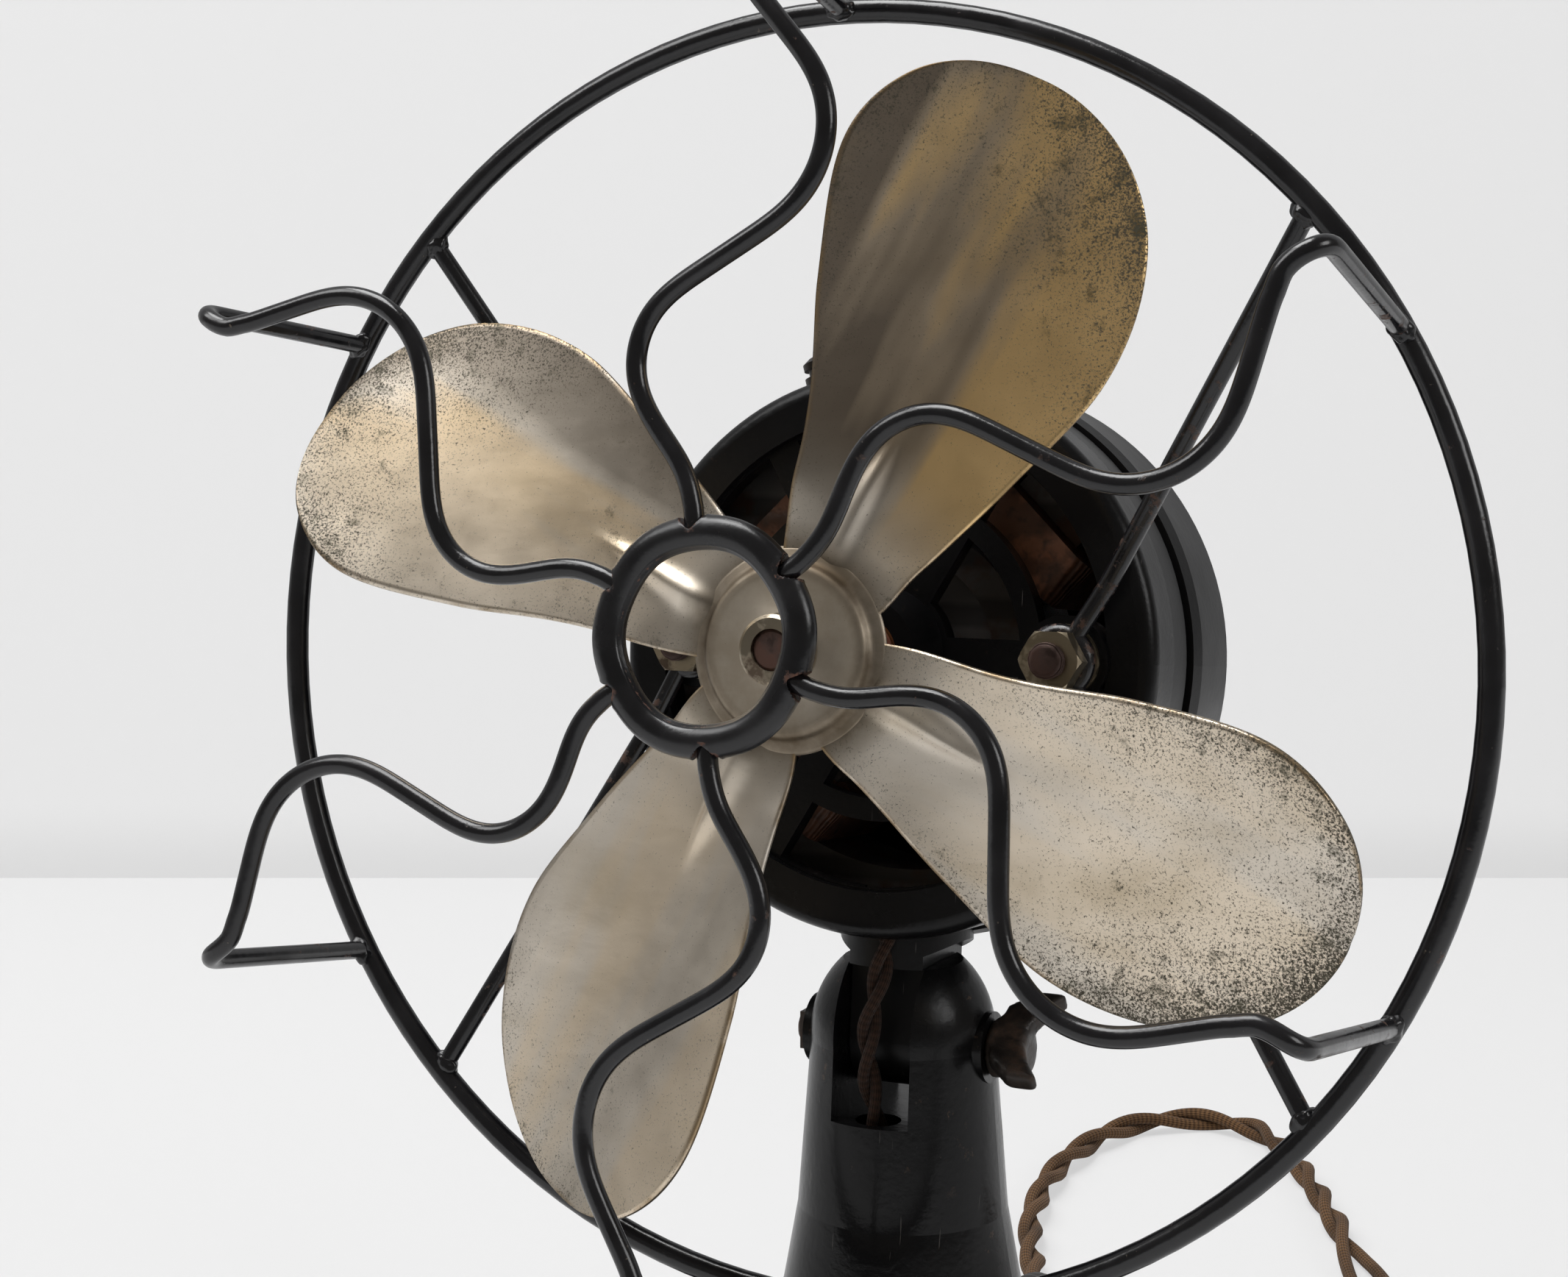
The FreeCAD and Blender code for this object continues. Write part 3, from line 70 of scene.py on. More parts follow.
class Skin:
    """The outside of a piece, built up in steps: paint, plating, rust or cloth."""

    def __init__(self, name):
        self.material = bpy.data.materials.new(name)
        self.material.use_nodes = True
        self.tree = self.material.node_tree
        self.place = self.node("TexCoord").outputs["Object"]

    def node(self, kind, *in_order, **named):
        return new_node(self.tree, kind, *in_order, **named)

    def surface(self, **values):
        """Feeds the main shader."""
        feed(self.tree, self.tree.nodes["Principled BSDF"], **values)

    def clouds(self, scale, detail, roughness=0.5, stretch=(1, 1, 1), place=None):
        """Noise over the piece's own coordinates, or others."""
        mapping = self.node("Mapping", vector=self.place if place is None else place, scale=stretch)
        return self.node("TexNoise", vector=mapping.outputs["Vector"], scale=scale, detail=detail,
                         roughness=roughness).outputs["Fac"]

    def ramp(self, grey, stops):
        """Colours at given places of a grey value; a stop is (place, red, green, blue) or (place, grey)."""
        item = self.node("ValToRGB", grey)
        elements = item.color_ramp.elements
        for number, stop in enumerate(stops):
            element = elements[number] if number < 2 else elements.new(stop[0])
            element.position = stop[0]
            colour = stop[1:] if len(stop) == 4 else (stop[1],) * 3
            element.color = (*colour, 1)
        return item.outputs["Color"]

    def past(self, grey, low, high, most=1):
        """Nothing up to one level of a grey value, the most from another on."""
        return self.ramp(grey, [(low, 0), (high, most)])

    def combine(self, operation, first, second):
        """Arithmetic on two grey values; either may be a plain number."""
        item = self.node("Math", first, second)
        item.operation = operation
        return item.outputs[0]

    def times(self, first, second):
        return self.combine("MULTIPLY", first, second)

    def plus(self, first, second):
        return self.combine("ADD", first, second)

    def layer(self, share, under, over):
        """Colour over laid on colour under by a grey share; colours are sockets or triples."""
        item = self.node("Mix", share)
        item.data_type = "RGBA"
        for name, value in (("A_Color", under), ("B_Color", over)):
            socket = next(each for each in item.inputs if each.identifier == name)
            if isinstance(value, tuple):
                socket.default_value = (*value, 1)
            else:
                self.tree.links.new(value, socket)
        return [socket for socket in item.outputs if socket.type == "RGBA"][0]

    def stored(self, name):
        """A number kept in the mesh for each of its points."""
        item = self.node("Attribute")
        item.attribute_name = name
        return item.outputs["Fac"]

    def relief(self, *heights):
        """Bumps chained into the shader's normal, finest last: (grey, strength, depth in metres) each."""
        normal = {}
        for grey, strength, depth in heights:
            bump = self.node("Bump", height=grey, strength=strength, distance=depth, **normal)
            normal = {"normal": bump.outputs["Normal"]}
        self.surface(**normal)


def studio_white(name, seen, mirrored, dimmed):
    """White surface: takes faint shadows, and shows one level to the camera and another to shiny things.

    dimmed is the ray that finds it dimmed, the object axis, the two places on it and the two levels
    that it runs between. The back is clear.
    """
    skin = Skin(name)
    skin.surface(base_color=(0.8, 0.8, 0.8, 1), roughness=0.9)
    path = skin.node("LightPath")
    below = skin.tree.nodes["Principled BSDF"].outputs[0]
    for ray, level, share in (("Is Glossy Ray", mirrored, 1.0), ("Is Camera Ray", seen, 0.72)):
        strength = 1.0
        if dimmed[0] == ray:
            along = skin.node("SeparateXYZ", skin.place).outputs[dimmed[1]]
            fall = skin.node("MapRange", value=along, from_min=dimmed[2], from_max=dimmed[3],
                             to_min=dimmed[4], to_max=dimmed[5])
            fall.interpolation_type = "SMOOTHSTEP"
            strength = fall.outputs["Result"]
        glow = skin.node("Emission", (level, level, level * 1.005, 1), strength).outputs[0]
        below = skin.node("MixShader", skin.times(path.outputs[ray], share), below, glow).outputs[0]
    back = skin.node("NewGeometry").outputs["Backfacing"]
    clear = skin.node("BsdfTransparent").outputs[0]
    feed(skin.tree, skin.tree.nodes["Material Output"],
         surface=skin.node("MixShader", back, below, clear).outputs[0])
    return skin.material


table_back = 0.61
table_wide, table_deep, wall_size = 6, 3, 6
view_turn = math.radians(25.55)
away = Vector((-math.sin(view_turn), math.cos(view_turn), 0))
bpy.ops.mesh.primitive_plane_add(size=1, location=away * (table_back - table_deep / 2),
                                 rotation=(0, 0, view_turn))
table = bpy.context.object
table.name = "table_top"
table.scale = (table_wide, table_deep, 1)
table.data.materials.append(studio_white("white_table", 0.790, 0.88,
                                         ("Is Glossy Ray", "Y", 0.197, -0.037, 1.0, 0.15)))
bpy.ops.mesh.primitive_plane_add(size=wall_size, location=away * table_back + Vector((0, 0, wall_size / 2)),
                                 rotation=(math.radians(90), 0, view_turn))
wall = bpy.context.object
wall.name = "wall"
# Seen by the camera the wall's glow dims over its lowest 35 mm: a painted shade line where it meets the
# table
wall.data.materials.append(studio_white("white_wall", 0.815, 0.42,
                                        ("Is Camera Ray", "Y", -2.965, -3.0, 1.0, 0.86)))

lamp_target = Vector((0, 0, 0.14))
for name, place, width, power in (
        ("key_light", (-1.15, -0.72, 1.55), 0.8, 11.5), ("fill_light", (1.4, -0.3, 0.8), 0.6, 5.5),
        ("top_light", (-0.34, -0.14, 1.60), 0.8, 19.5)):
    bpy.ops.object.light_add(type="AREA", location=place)
    lamp = bpy.context.object
    lamp.name = name
    lamp.data.size = width
    lamp.data.energy = power
    lamp.rotation_euler = (lamp_target - Vector(place)).to_track_quat("-Z", "Y").to_euler()

world = bpy.data.worlds.new("pale_room")
bpy.context.scene.world = world
world.use_nodes = True
tree = world.node_tree
room = tree.nodes["Background"]
feed(tree, room, color=(1.0, 0.94, 0.86, 1), strength=0.16)
pale = new_node(tree, "Background", color=(0.80, 0.80, 0.80, 1), strength=1.0)
camera_ray = new_node(tree, "LightPath").outputs["Is Camera Ray"]
seen_room = new_node(tree, "MixShader", camera_ray, room.outputs[0], pale.outputs[0])
feed(tree, tree.nodes["World Output"], surface=seen_room.outputs[0])
bpy.context.scene.view_settings.view_transform = "Standard"

look_down = 2.5
bpy.ops.object.camera_add(location=(0.1722, -0.4294, 0.2070),
                          rotation=(math.radians(90 - look_down), 0, view_turn))
camera = bpy.context.object
camera.data.sensor_width = 36
camera.data.lens = 57.41
camera.data.shift_x = 0.0260
camera.data.shift_y = -0.0837
camera.data.clip_start = 0.02
bpy.context.scene.camera = camera


# --- Black castings -------------------------------------------------------------------------------
# The foot with its forked column, and the motor's drum and two bells: sand-cast iron under baked
# black enamel, gently uneven, scratched, and worn to brown iron where hands and screws have rubbed.

def finish_nodes(material, *names):
    """Gives CAD nodes a material on their one slot."""
    for name in names:
        nodes[name].data.materials.clear()
        nodes[name].data.materials.append(material)


def enamel(name, wear, gloss, grain):
    """Black baked enamel: wear from 0 to 1 is how much brown iron shows, grain how rough the casting is."""
    skin = Skin(name)
    clouds = skin.clouds(60, 6.0)
    fine = skin.clouds(900, 3.0)
    chips = skin.clouds(260, 8.0, 0.7)
    scratches = skin.clouds(30, 2.0, stretch=(60, 6, 3))
    dull = skin.clouds(24, 5.0)
    colour = skin.ramp(clouds, [(0.3, 0.0025, 0.0025, 0.003), (0.7, 0.0055, 0.0053, 0.0055)])
    worn = skin.past(chips, 0.70 - 0.10 * wear, 0.74 - 0.08 * wear)
    patch = skin.past(dull, 0.50 - 0.12 * wear, 0.72)
    bare = skin.times(worn, patch)
    colour = skin.layer(bare, colour, (0.105, 0.066, 0.043))
    line = skin.past(scratches, 0.735, 0.76)
    colour = skin.layer(skin.times(line, 0.35), colour, (0.16, 0.15, 0.14))
    rough = skin.ramp(dull, [(0.25, gloss), (0.8, gloss + 0.22)])
    rough = skin.combine("MAXIMUM", rough, skin.times(bare, 0.75))
    skin.surface(base_color=colour, roughness=rough, specular_ior_level=0.22)
    skin.relief((clouds, 0.25 * grain, 0.0012), (fine, 0.20 * grain, 0.0002), (bare, -0.35, 0.0002))
    return skin.material


finish_nodes(enamel("column_enamel", 0.8, 0.15, 1.0), "base_column")
finish_nodes(enamel("bell_enamel", 0.6, 0.20, 1.1), "front_bell")
finish_nodes(enamel("drum_enamel", 0.2, 0.26, 0.7), "stator_housing", "rear_bell")


# --- Guard wires, ring and struts -----------------------------------------------------------------
# Drawn steel wire under thick black enamel. The rear ring is one heavy hoop; the six curled wires and
# the two V-shaped struts are brazed to it, and the enamel has gone brown and grey round the joints.

shaft_way = (0, -0.99506, 0.09932)


def wire_enamel(name, stained_from, stained_to):
    """Glossy black over wire; rust grows from stained_to, measured along the shaft, back to stained_from."""
    skin = Skin(name)
    along = skin.node("VectorMath", skin.place, shaft_way)
    along.operation = "DOT_PRODUCT"
    depth = skin.node("MapRange", along.outputs["Value"], stained_to, stained_from).outputs["Result"]
    blotches = skin.clouds(330, 7.0, 0.65)
    clouds = skin.clouds(110, 4.0)
    fine = skin.clouds(1500, 2.0)
    nicks = skin.clouds(700, 5.0)
    stain = skin.past(skin.plus(blotches, skin.times(depth, 0.10)), 0.66, 0.74)
    colour = skin.ramp(clouds, [(0.3, 0.004, 0.004, 0.005), (0.75, 0.011, 0.0105, 0.012)])
    spots = skin.past(nicks, 0.72, 0.75)
    colour = skin.layer(spots, colour, (0.09, 0.075, 0.06))
    rust = skin.ramp(nicks, [(0.35, 0.030, 0.018, 0.013), (0.65, 0.095, 0.047, 0.030)])
    rough = skin.combine("MAXIMUM", skin.ramp(clouds, [(0.3, 0.15), (0.7, 0.27)]), skin.times(stain, 0.7))
    skin.surface(base_color=skin.layer(stain, colour, rust), roughness=rough)
    skin.relief((clouds, 0.35, 0.0004), (fine, 0.18, 0.0001), (stain, 0.3, 0.0001))
    return skin.material


curl_enamel = wire_enamel("wire_enamel", 0.0683, 0.0843)
finish_nodes(wire_enamel("ring_enamel", 0.0323, 0.0423), "guard_ring")
finish_nodes(wire_enamel("strut_enamel", 0.0423, 0.0563), "guard_strut_right", "guard_strut_left")


# --- Rolled hub ring of the guard -----------------------------------------------------------------
# A strip of steel rolled into a hollow hoop, with six round notches in its outside that the wires
# plunge into. Its edges meet in a seam on the inside; bare rusty metal shows in the notches.

pivot_height = 0.088
shaft_over_pivot = 0.0715
head_turn = Matrix.Rotation(math.radians(-5.7), 4, "X")
head_frame = Matrix.Translation((0, 0, pivot_height)) @ head_turn \
    @ Matrix.Translation((0, 0, shaft_over_pivot)) @ Matrix.Rotation(math.radians(90), 4, "X")
guard_frame = head_frame @ Matrix.Translation((0, 0.0018, 0.0415))


def new_mesh(name, points, faces, material):
    """A mesh object at the origin."""
    data = bpy.data.meshes.new(name)
    data.from_pydata(points, [], faces)
    data.materials.append(material)
    item = bpy.data.objects.new(name, data)
    bpy.context.scene.collection.objects.link(item)
    return item


def shade_soft(item, angle):
    """Smooth shading, with edges kept where faces meet at more than an angle in degrees."""
    bpy.ops.object.select_all(action="DESELECT")
    item.select_set(True)
    bpy.context.view_layer.objects.active = item
    bpy.ops.object.shade_smooth_by_angle(angle=math.radians(angle))
    item.select_set(False)


def fit(item, body, slot_name, angle, *stands_for):
    """Puts a piece on its body with its soft shading, and hides the CAD nodes it stands for; slot_name is
    not used.
    """
    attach(item, body)
    if stands_for:
        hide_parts(*stands_for)
    shade_soft(item, angle)


def wrapped_grid(rows, columns):
    """Faces of a grid of points that closes across its columns and its rows."""
    faces = []
    for row in range(rows):
        following = (row + 1) % rows
        for column in range(columns):
            beside = (column + 1) % columns
            faces.append((row * columns + column, following * columns + column,
                          following * columns + beside, row * columns + beside))
    return faces


def store_values(item, name, values):
    """Keeps one number a point with the mesh, for its material."""
    layer_data = item.data.attributes.new(name, "FLOAT", "POINT")
    layer_data.data.foreach_set("value", values)


def smooth_share(value, low, high):
    """0 below low, 1 above high and an easy curve between them; low may be the larger."""
    share = max(0.0, min(1.0, (value - low) / (high - low)))
    return share * share * (3 - 2 * share)


notch_angles = [97.3, 36.9, -21.1, -84.6, -148.6, 154.1]
hub_reach = 0.01635
front_level = 0.0500
strip_width, strip_depth = 0.00275, 0.0024
notch_rim, notch_floor, notch_depth = 0.00245, 0.0019, 0.0017
lip_height = 0.00012
seam_angle, seam_width, seam_sink = math.radians(152), 0.07, 0.07
flattened = 0.00028
outer_reach = 0.019
ring_rows, ring_columns = 300, 40
ring_points, notch_values = [], []
for row in range(ring_rows):
    angle = math.tau * row / ring_rows
    nearest = min(notch_angles, key=lambda turn: abs(math.remainder(angle - math.radians(turn), math.tau)))
    off = math.remainder(angle - math.radians(nearest), math.tau)
    middle = hub_reach - flattened * math.cos(3 * off) ** 2 + flattened / 2
    for column in range(ring_columns):
        around = math.tau * column / ring_columns
        wide = strip_width * math.cos(around)
        deep = strip_depth * math.sin(around)
        reach = math.hypot(off * outer_reach, deep)
        seam = math.exp(-((around - seam_angle) / seam_width) ** 2)
        out = middle + wide * (1 - seam_sink * seam)
        stain = seam * 0.7
        if math.cos(around) > 0:
            out -= smooth_share(reach, notch_rim, notch_floor) * notch_depth
            out += smooth_share(abs(reach - 0.0026), 0.0006, 0.0) * lip_height
            stain = smooth_share(reach, 0.0034, 0.0020)
        ring_points.append(guard_frame @ Vector((out * math.cos(angle), out * math.sin(angle),
                                                 front_level + deep * (1 - seam_sink * seam))))
        notch_values.append(stain)

skin = Skin("hub_ring_enamel")
speckle = skin.clouds(500, 7.0, 0.7)
clouds = skin.clouds(120, 4.0)
fine = skin.clouds(1600, 2.0)
bare = skin.plus(speckle, skin.times(skin.stored("notch"), 0.32))
bare = skin.past(bare, 0.70, 0.80)
colour = skin.ramp(clouds, [(0.3, 0.004, 0.004, 0.005), (0.75, 0.012, 0.0115, 0.013)])
rust = skin.ramp(speckle, [(0.35, 0.030, 0.015, 0.011), (0.65, 0.120, 0.052, 0.032)])
rough = skin.combine("MAXIMUM", skin.ramp(clouds, [(0.3, 0.22), (0.7, 0.36)]), skin.times(bare, 0.75))
skin.surface(base_color=skin.layer(bare, colour, rust), roughness=rough)
skin.relief((clouds, 0.3, 0.0005), (fine, 0.2, 0.0001), (bare, 0.3, 0.0001))
hub_ring = new_mesh("guard_hub_ring_rolled", ring_points, wrapped_grid(ring_rows, ring_columns),
                    skin.material)
store_values(hub_ring, "notch", notch_values)
fit(hub_ring, "head", "wire_enamel", 60, "guard_hub_ring")


# --- Brazed joints of the guard -------------------------------------------------------------------
# Small uneven fillets of brass solder under the enamel where each wire and strut meets the ring.

ring_frame = guard_frame @ Matrix.Translation((0, -0.0024, 0.0008)) \
    @ Matrix.Rotation(math.radians(2.7), 4, "X")
rear_reach = 0.1110
wire_feet = [89.8, 29.7, -28.9, -91.0, -147.5, 150.8]
strut_feet = [42.3, -39.9, 138.3, -133.6]
joints = [(turn, rear_reach, 0.0019) for turn in wire_feet] + [(turn, 0.1091, 0.0) for turn in strut_feet]
fillet_wide, fillet_long = 0.0019, 0.0026


def joined(items, name):
    """One object of several."""
    bpy.ops.object.select_all(action="DESELECT")
    for item in items:
        item.select_set(True)
    bpy.context.view_layer.objects.active = items[0]
    bpy.ops.object.join()
    items[0].name = name
    items[0].select_set(False)
    return items[0]


lumps = []
for number, (turn, reach, rise) in enumerate(joints):
    centre = Vector((reach * math.cos(math.radians(turn)), reach * math.sin(math.radians(turn)), rise))
    bpy.ops.mesh.primitive_ico_sphere_add(subdivisions=4, radius=1.0)
    lumps.append(bpy.context.object)
    aside = Matrix.Rotation(math.radians(turn), 4, "Z")
    for vertex in lumps[-1].data.vertices:
        bumpy = 1 + 0.22 * noise.noise(vertex.co * 1.7 + Vector((number * 7.3, 0, 0)))
        x, y, z = vertex.co
        shape = Vector((x * fillet_wide, y * fillet_long, z * fillet_wide)) * bumpy
        vertex.co = ring_frame @ (centre + aside @ shape)
fillets = joined(lumps, "braze_fillets")
fillets.data.materials.append(wire_enamel("fillet_enamel", 0.0, 0.02))
fit(fillets, "head", "wire_enamel", 60)


# --- Curled wires of the guard --------------------------------------------------------------------
# Six drawn steel wires, each bent by hand into an S, over a front corner and back to the rear ring,
# under thick black enamel; no two bends are quite alike.

# Each wire's front corner (degrees, share of the rear reach), and its curls' swing as shares of its span
curl_sizes = [
    (89.4, 1.012, 0.205, 0.277), (32.3, 1.006, 0.181, 0.285), (-29.3, 0.978, 0.195, 0.300),
    (-93.3, 0.980, 0.205, 0.222), (-147.5, 0.983, 0.186, 0.298), (152.5, 1.020, 0.178, 0.282),
]
curl_bends = [0.009, 0.0135, 0.0169, 0.0072, 0.004]
wire_radius = 0.00165
wire_sides = 20
wire_step = 0.0008
arc_steps = 12
least_ease, most_ease = 2, 6
foot_level = 0.0009


def run_lengths(line):
    """The distance run so far at each point of a line."""
    runs = [0.0]
    for before, after in zip(line, line[1:]):
        runs.append(runs[-1] + (after - before).length)
    return runs


def direction(angle):
    """Straight out from the shaft at an angle in degrees."""
    return Vector((math.cos(math.radians(angle)), math.sin(math.radians(angle)), 0))


def rounded_line(points, bends):
    """Straight runs, with an arc of the given radius at each inner point."""
    line = [points[0]]
    for number, bend in enumerate(bends, 1):
        corner = points[number]
        into = (corner - points[number - 1]).normalized()
        out = (points[number + 1] - corner).normalized()
        turned = into.angle(out)
        centre = corner + (out - into).normalized() * (bend / math.cos(turned / 2))
        first = corner - into * (bend * math.tan(turned / 2)) - centre
        last = corner + out * (bend * math.tan(turned / 2)) - centre
        for step in range(arc_steps + 1):
            share = step / arc_steps
            line.append(centre + (first * math.sin((1 - share) * turned) + last * math.sin(share * turned))
                        / math.sin(turned))
    line.append(points[-1])
    return line


def even_line(places, gap):
    """The same line stepped off at an even gap."""
    runs = run_lengths(places)
    count = max(2, round(runs[-1] / gap))
    line = []
    spot = 0
    for step in range(count + 1):
        distance = runs[-1] * step / count
        while spot < len(runs) - 2 and runs[spot + 1] < distance:
            spot += 1
        span = max(runs[spot + 1] - runs[spot], 1e-9)
        line.append(places[spot].lerp(places[spot + 1], min(1.0, (distance - runs[spot]) / span)))
    return line


def upright_frames(line):
    """Two directions square to the line at each point, carried along without spinning."""
    frames = []
    side = Vector((0, 0, 1))
    for number, point in enumerate(line):
        ahead = (line[min(number + 1, len(line) - 1)] - line[max(number - 1, 0)]).normalized()
        side = (side - ahead * side.dot(ahead)).normalized()
        frames.append((side, ahead.cross(side)))
    return frames


def tube(points, faces, weave, centres, radius, sides=12):
    """Adds a round tube along centres; weave gets (distance along, share round) for each point."""
    first = len(points)
    for centre, run, (side, other) in zip(centres, run_lengths(centres), upright_frames(centres)):
        for turn in range(sides):
            angle = math.tau * turn / sides
            points.append(centre + side * (radius * math.cos(angle)) + other * (radius * math.sin(angle)))
            weave.append((run, turn / sides))
    for number in range(len(centres) - 1):
        for turn in range(sides):
            beside = (turn + 1) % sides
            here = first + number * sides
            faces.append((here + turn, here + beside, here + sides + beside, here + sides + turn))
    faces.append(tuple(first + turn for turn in reversed(range(sides))))
    last = first + (len(centres) - 1) * sides
    faces.append(tuple(last + turn for turn in range(sides)))


for number, sizes in enumerate(zip(notch_angles, wire_feet, curl_sizes), 1):
    hub_angle, foot_angle, (corner_angle, spread, crest, trough) = sizes
    front = Vector((0, 0, front_level))
    start = direction(hub_angle) * hub_reach + front
    corner = direction(corner_angle) * (rear_reach * spread) + front
    span = corner - start
    aside = Vector((span.y, -span.x, 0))
    foot = ring_frame @ (direction(foot_angle) * rear_reach + Vector((0, 0, foot_level)))
    foot = guard_frame.inverted() @ foot
    bends = [start, start + direction(hub_angle) * (span.length * 0.085),
             start + span * 0.31 - aside * crest, start + span * 0.62 + aside * trough,
             corner - direction(corner_angle) * (span.length * 0.078), corner, foot]
    line = even_line(rounded_line(bends, curl_bends), wire_step)
    # The hand-bent curls run into each other, so each point is drawn towards its neighbours' middle
    turn_place = min(range(len(line)), key=lambda place: (line[place] - corner).length)
    eased = []
    for place in range(len(line)):
        ease = max(least_ease, min(most_ease, abs(place - turn_place) - most_ease))
        reach = min(place, len(line) - 1 - place, ease)
        near = line[place - reach:place + reach + 1]
        eased.append(guard_frame @ (sum(near, Vector()) / len(near)))
    points, faces = [], []
    tube(points, faces, [], eased, wire_radius, wire_sides)
    wire = new_mesh("curled_wire_%d" % number, points, faces, curl_enamel)
    fit(wire, "head", "wire_enamel", 60, "guard_wire_%d" % number)


# --- Fan ------------------------------------------------------------------------------------------
# One sheet of brass, pressed into a stepped hub disc and four cambered blades with a stiffening rib
# at each root, then nickel plated. The plating is stained, brassy in places and pitted at the tips, and
# golden and dark bands of painted reflection lie along the blades.

hub_front = 0.0613
tip_reach = 0.1022
root_share = 0.14
first_blade = 62.8
blade_pitch, pitch_growth = 13, 20
camber_radius = 0.124
rib_height = 0.00135
sheet = 0.0009
blade_rows, blade_columns = 72, 52
# For each blade, anticlockwise from the top one: how its bands of painted reflection lean to one side, how
# strong its tarnish and painted reflection are on the clockwise and on the other side, and how far the
# plating is pitted
blade_reflection_lean = [0.36, -0.50, -0.08, 0.0]
blade_tarnish_and_reflection = [(1.0, 1.0), (0.75, 0.08), (0.26, 0.22), (0.16, 0.16)]
blade_wear = [0.78, 0.85, 0.50, 1.02]


def through(table, share):
    """A smooth curve through a table of (share, value) rows."""
    last = len(table) - 1
    spot = max(index for index in range(last) if table[index][0] <= share or index == 0)
    places, values = zip(*[table[max(0, min(last, spot + step))] for step in (-1, 0, 1, 2)])
    span = places[2] - places[1]
    part_way = max(0.0, min(1.0, (share - places[1]) / span))
    rise_start = (values[2] - values[0]) / (places[2] - places[0]) * span
    rise_end = (values[3] - values[1]) / (places[3] - places[1]) * span if places[3] > places[1] else 0
    square = part_way * part_way
    cube = square * part_way
    return ((2 * cube - 3 * square + 1) * values[1] + (cube - 2 * square + part_way) * rise_start
            + (3 * square - 2 * cube) * values[2] + (cube - square) * rise_end)


def tip_angle(share):
    """Spreads the rows so that they crowd at the tip, where the outline is round."""
    return math.asin(max(0.0, min(1.0, (share - root_share) / (1 - root_share)))) / (math.pi / 2)


trailing = [(tip_angle(share), turn) for share, turn in (
    (0.14, 36.0), (0.17, 33.1), (0.35, 23.9), (0.60, 22.3), (0.82, 20.0), (0.945, 14.5), (0.992, 9.0),
    (1.0, 5.0))]
leading = [(tip_angle(share), turn) for share, turn in (
    (0.14, -43.5), (0.17, -40.1), (0.25, -31.5), (0.44, -25.5), (0.66, -21.4), (0.86, -13.0),
    (0.945, -6.6), (0.99, -0.5), (1.0, 3.5))]


def blade_height(along, across):
    """Front of the sheet over a point of the blade, with the rib that stiffens its root."""
    share = along / tip_reach
    slope = math.tan(math.radians(blade_pitch + pitch_growth * (share - 0.5)))
    height = hub_front - 0.0019 - 0.0036 * share + slope * across + across * across / (2 * camber_radius)
    root = smooth_share(along, 0.027, 0.0155)
    height += (hub_front - 0.0024 - height) * root
    window = smooth_share(along, 0.015, 0.019) * smooth_share(along, 0.043, 0.030)
    broad = 0.0023 * smooth_share(along, 0.048, 0.020) + 0.0005
    offset = (across - 0.0006) / broad
    crest = math.exp(-offset * offset * (1.0 if offset > 0 else 2.6))
    return height + rib_height * window * crest


fan_points, fan_faces, fan_values = [], [], []
for number in range(4):
    turned = math.radians(first_blade + 90 * number)
    first = len(fan_points)
    for row in range(blade_rows):
        step = row / (blade_rows - 1)
        share = root_share + (1 - root_share) * math.sin(step * math.pi / 2)
        upper, lower = through(trailing, step), through(leading, step)
        for column in range(blade_columns):
            side = column / (blade_columns - 1)
            angle = math.radians(lower + (upper - lower) * side)
            along, across = tip_reach * share * math.cos(angle), tip_reach * share * math.sin(angle)
            height = blade_height(along, across)
            x = along * math.cos(turned) - across * math.sin(turned)
            y = along * math.sin(turned) + across * math.cos(turned)
            fan_points.append(head_frame @ Vector((x, y, height)))
            width = tip_reach * share * math.radians(upper - lower)
            edge = min(min(side, 1 - side) * width, (1 - share) * tip_reach) * 1000
            cluster = noise.noise(Vector((along * 42, across * 42, number * 9.1)))
            clockwise = smooth_share(side, 0.75, 0.05)
            worn = (0.30 + 0.55 * smooth_share(share, 0.50, 1.0) + 0.30 * smooth_share(edge, 10, 0)
                    + 0.35 * clockwise * smooth_share(share, 0.4, 0.9))
            # Strength of the brassy tarnish and of the painted reflection bands across this blade
            clockwise_side, other_side = blade_tarnish_and_reflection[number]
            tarnish_and_reflection = clockwise_side + (other_side - clockwise_side) * side
            tarnish_and_reflection *= smooth_share(share, 0.16, 0.40)
            pitting = blade_wear[number] * worn + 0.30 * cluster
            # How far this blade's painted reflection bands lean to one side
            reflection_lean = blade_reflection_lean[number] * (0.5 - side)
            fan_values.append((share, edge, across + number * 0.37, tarnish_and_reflection, pitting, reflection_lean))
    for row in range(blade_rows - 1):
        for column in range(blade_columns - 1):
            corner = first + row * blade_columns + column
            fan_faces.append((corner, corner + blade_columns, corner + blade_columns + 1, corner + 1))
profile = [(5.95, 0.25), (6.4, 0.0), (12.9, 0.0), (13.7, -0.05), (14.25, -0.25), (14.6, -0.65),
           (14.9, -1.25), (15.3, -1.75), (15.9, -2.05), (16.8, -2.3), (17.5, -2.5)]
disc_first = len(fan_points)
disc_turns = 128
for turn in range(disc_turns):
    angle = math.tau * turn / disc_turns
    for radius, drop in profile:
        dent = 0.10 * noise.noise(Vector((math.cos(angle) * 2, math.sin(angle) * 2, radius * 0.3)))
        x, y = radius / 1000 * math.cos(angle), radius / 1000 * math.sin(angle)
        fan_points.append(head_frame @ Vector((x, y, hub_front + (drop + dent) / 1000)))
        fan_values.append((radius / 1000 / tip_reach, 6.0, radius / 1000, 0.25, 0.02, 0.0))
for turn in range(disc_turns):
    for row in range(len(profile) - 1):
        here = disc_first + turn * len(profile) + row
        beside = disc_first + (turn + 1) % disc_turns * len(profile) + row
        fan_faces.append((here, here + 1, beside + 1, beside))

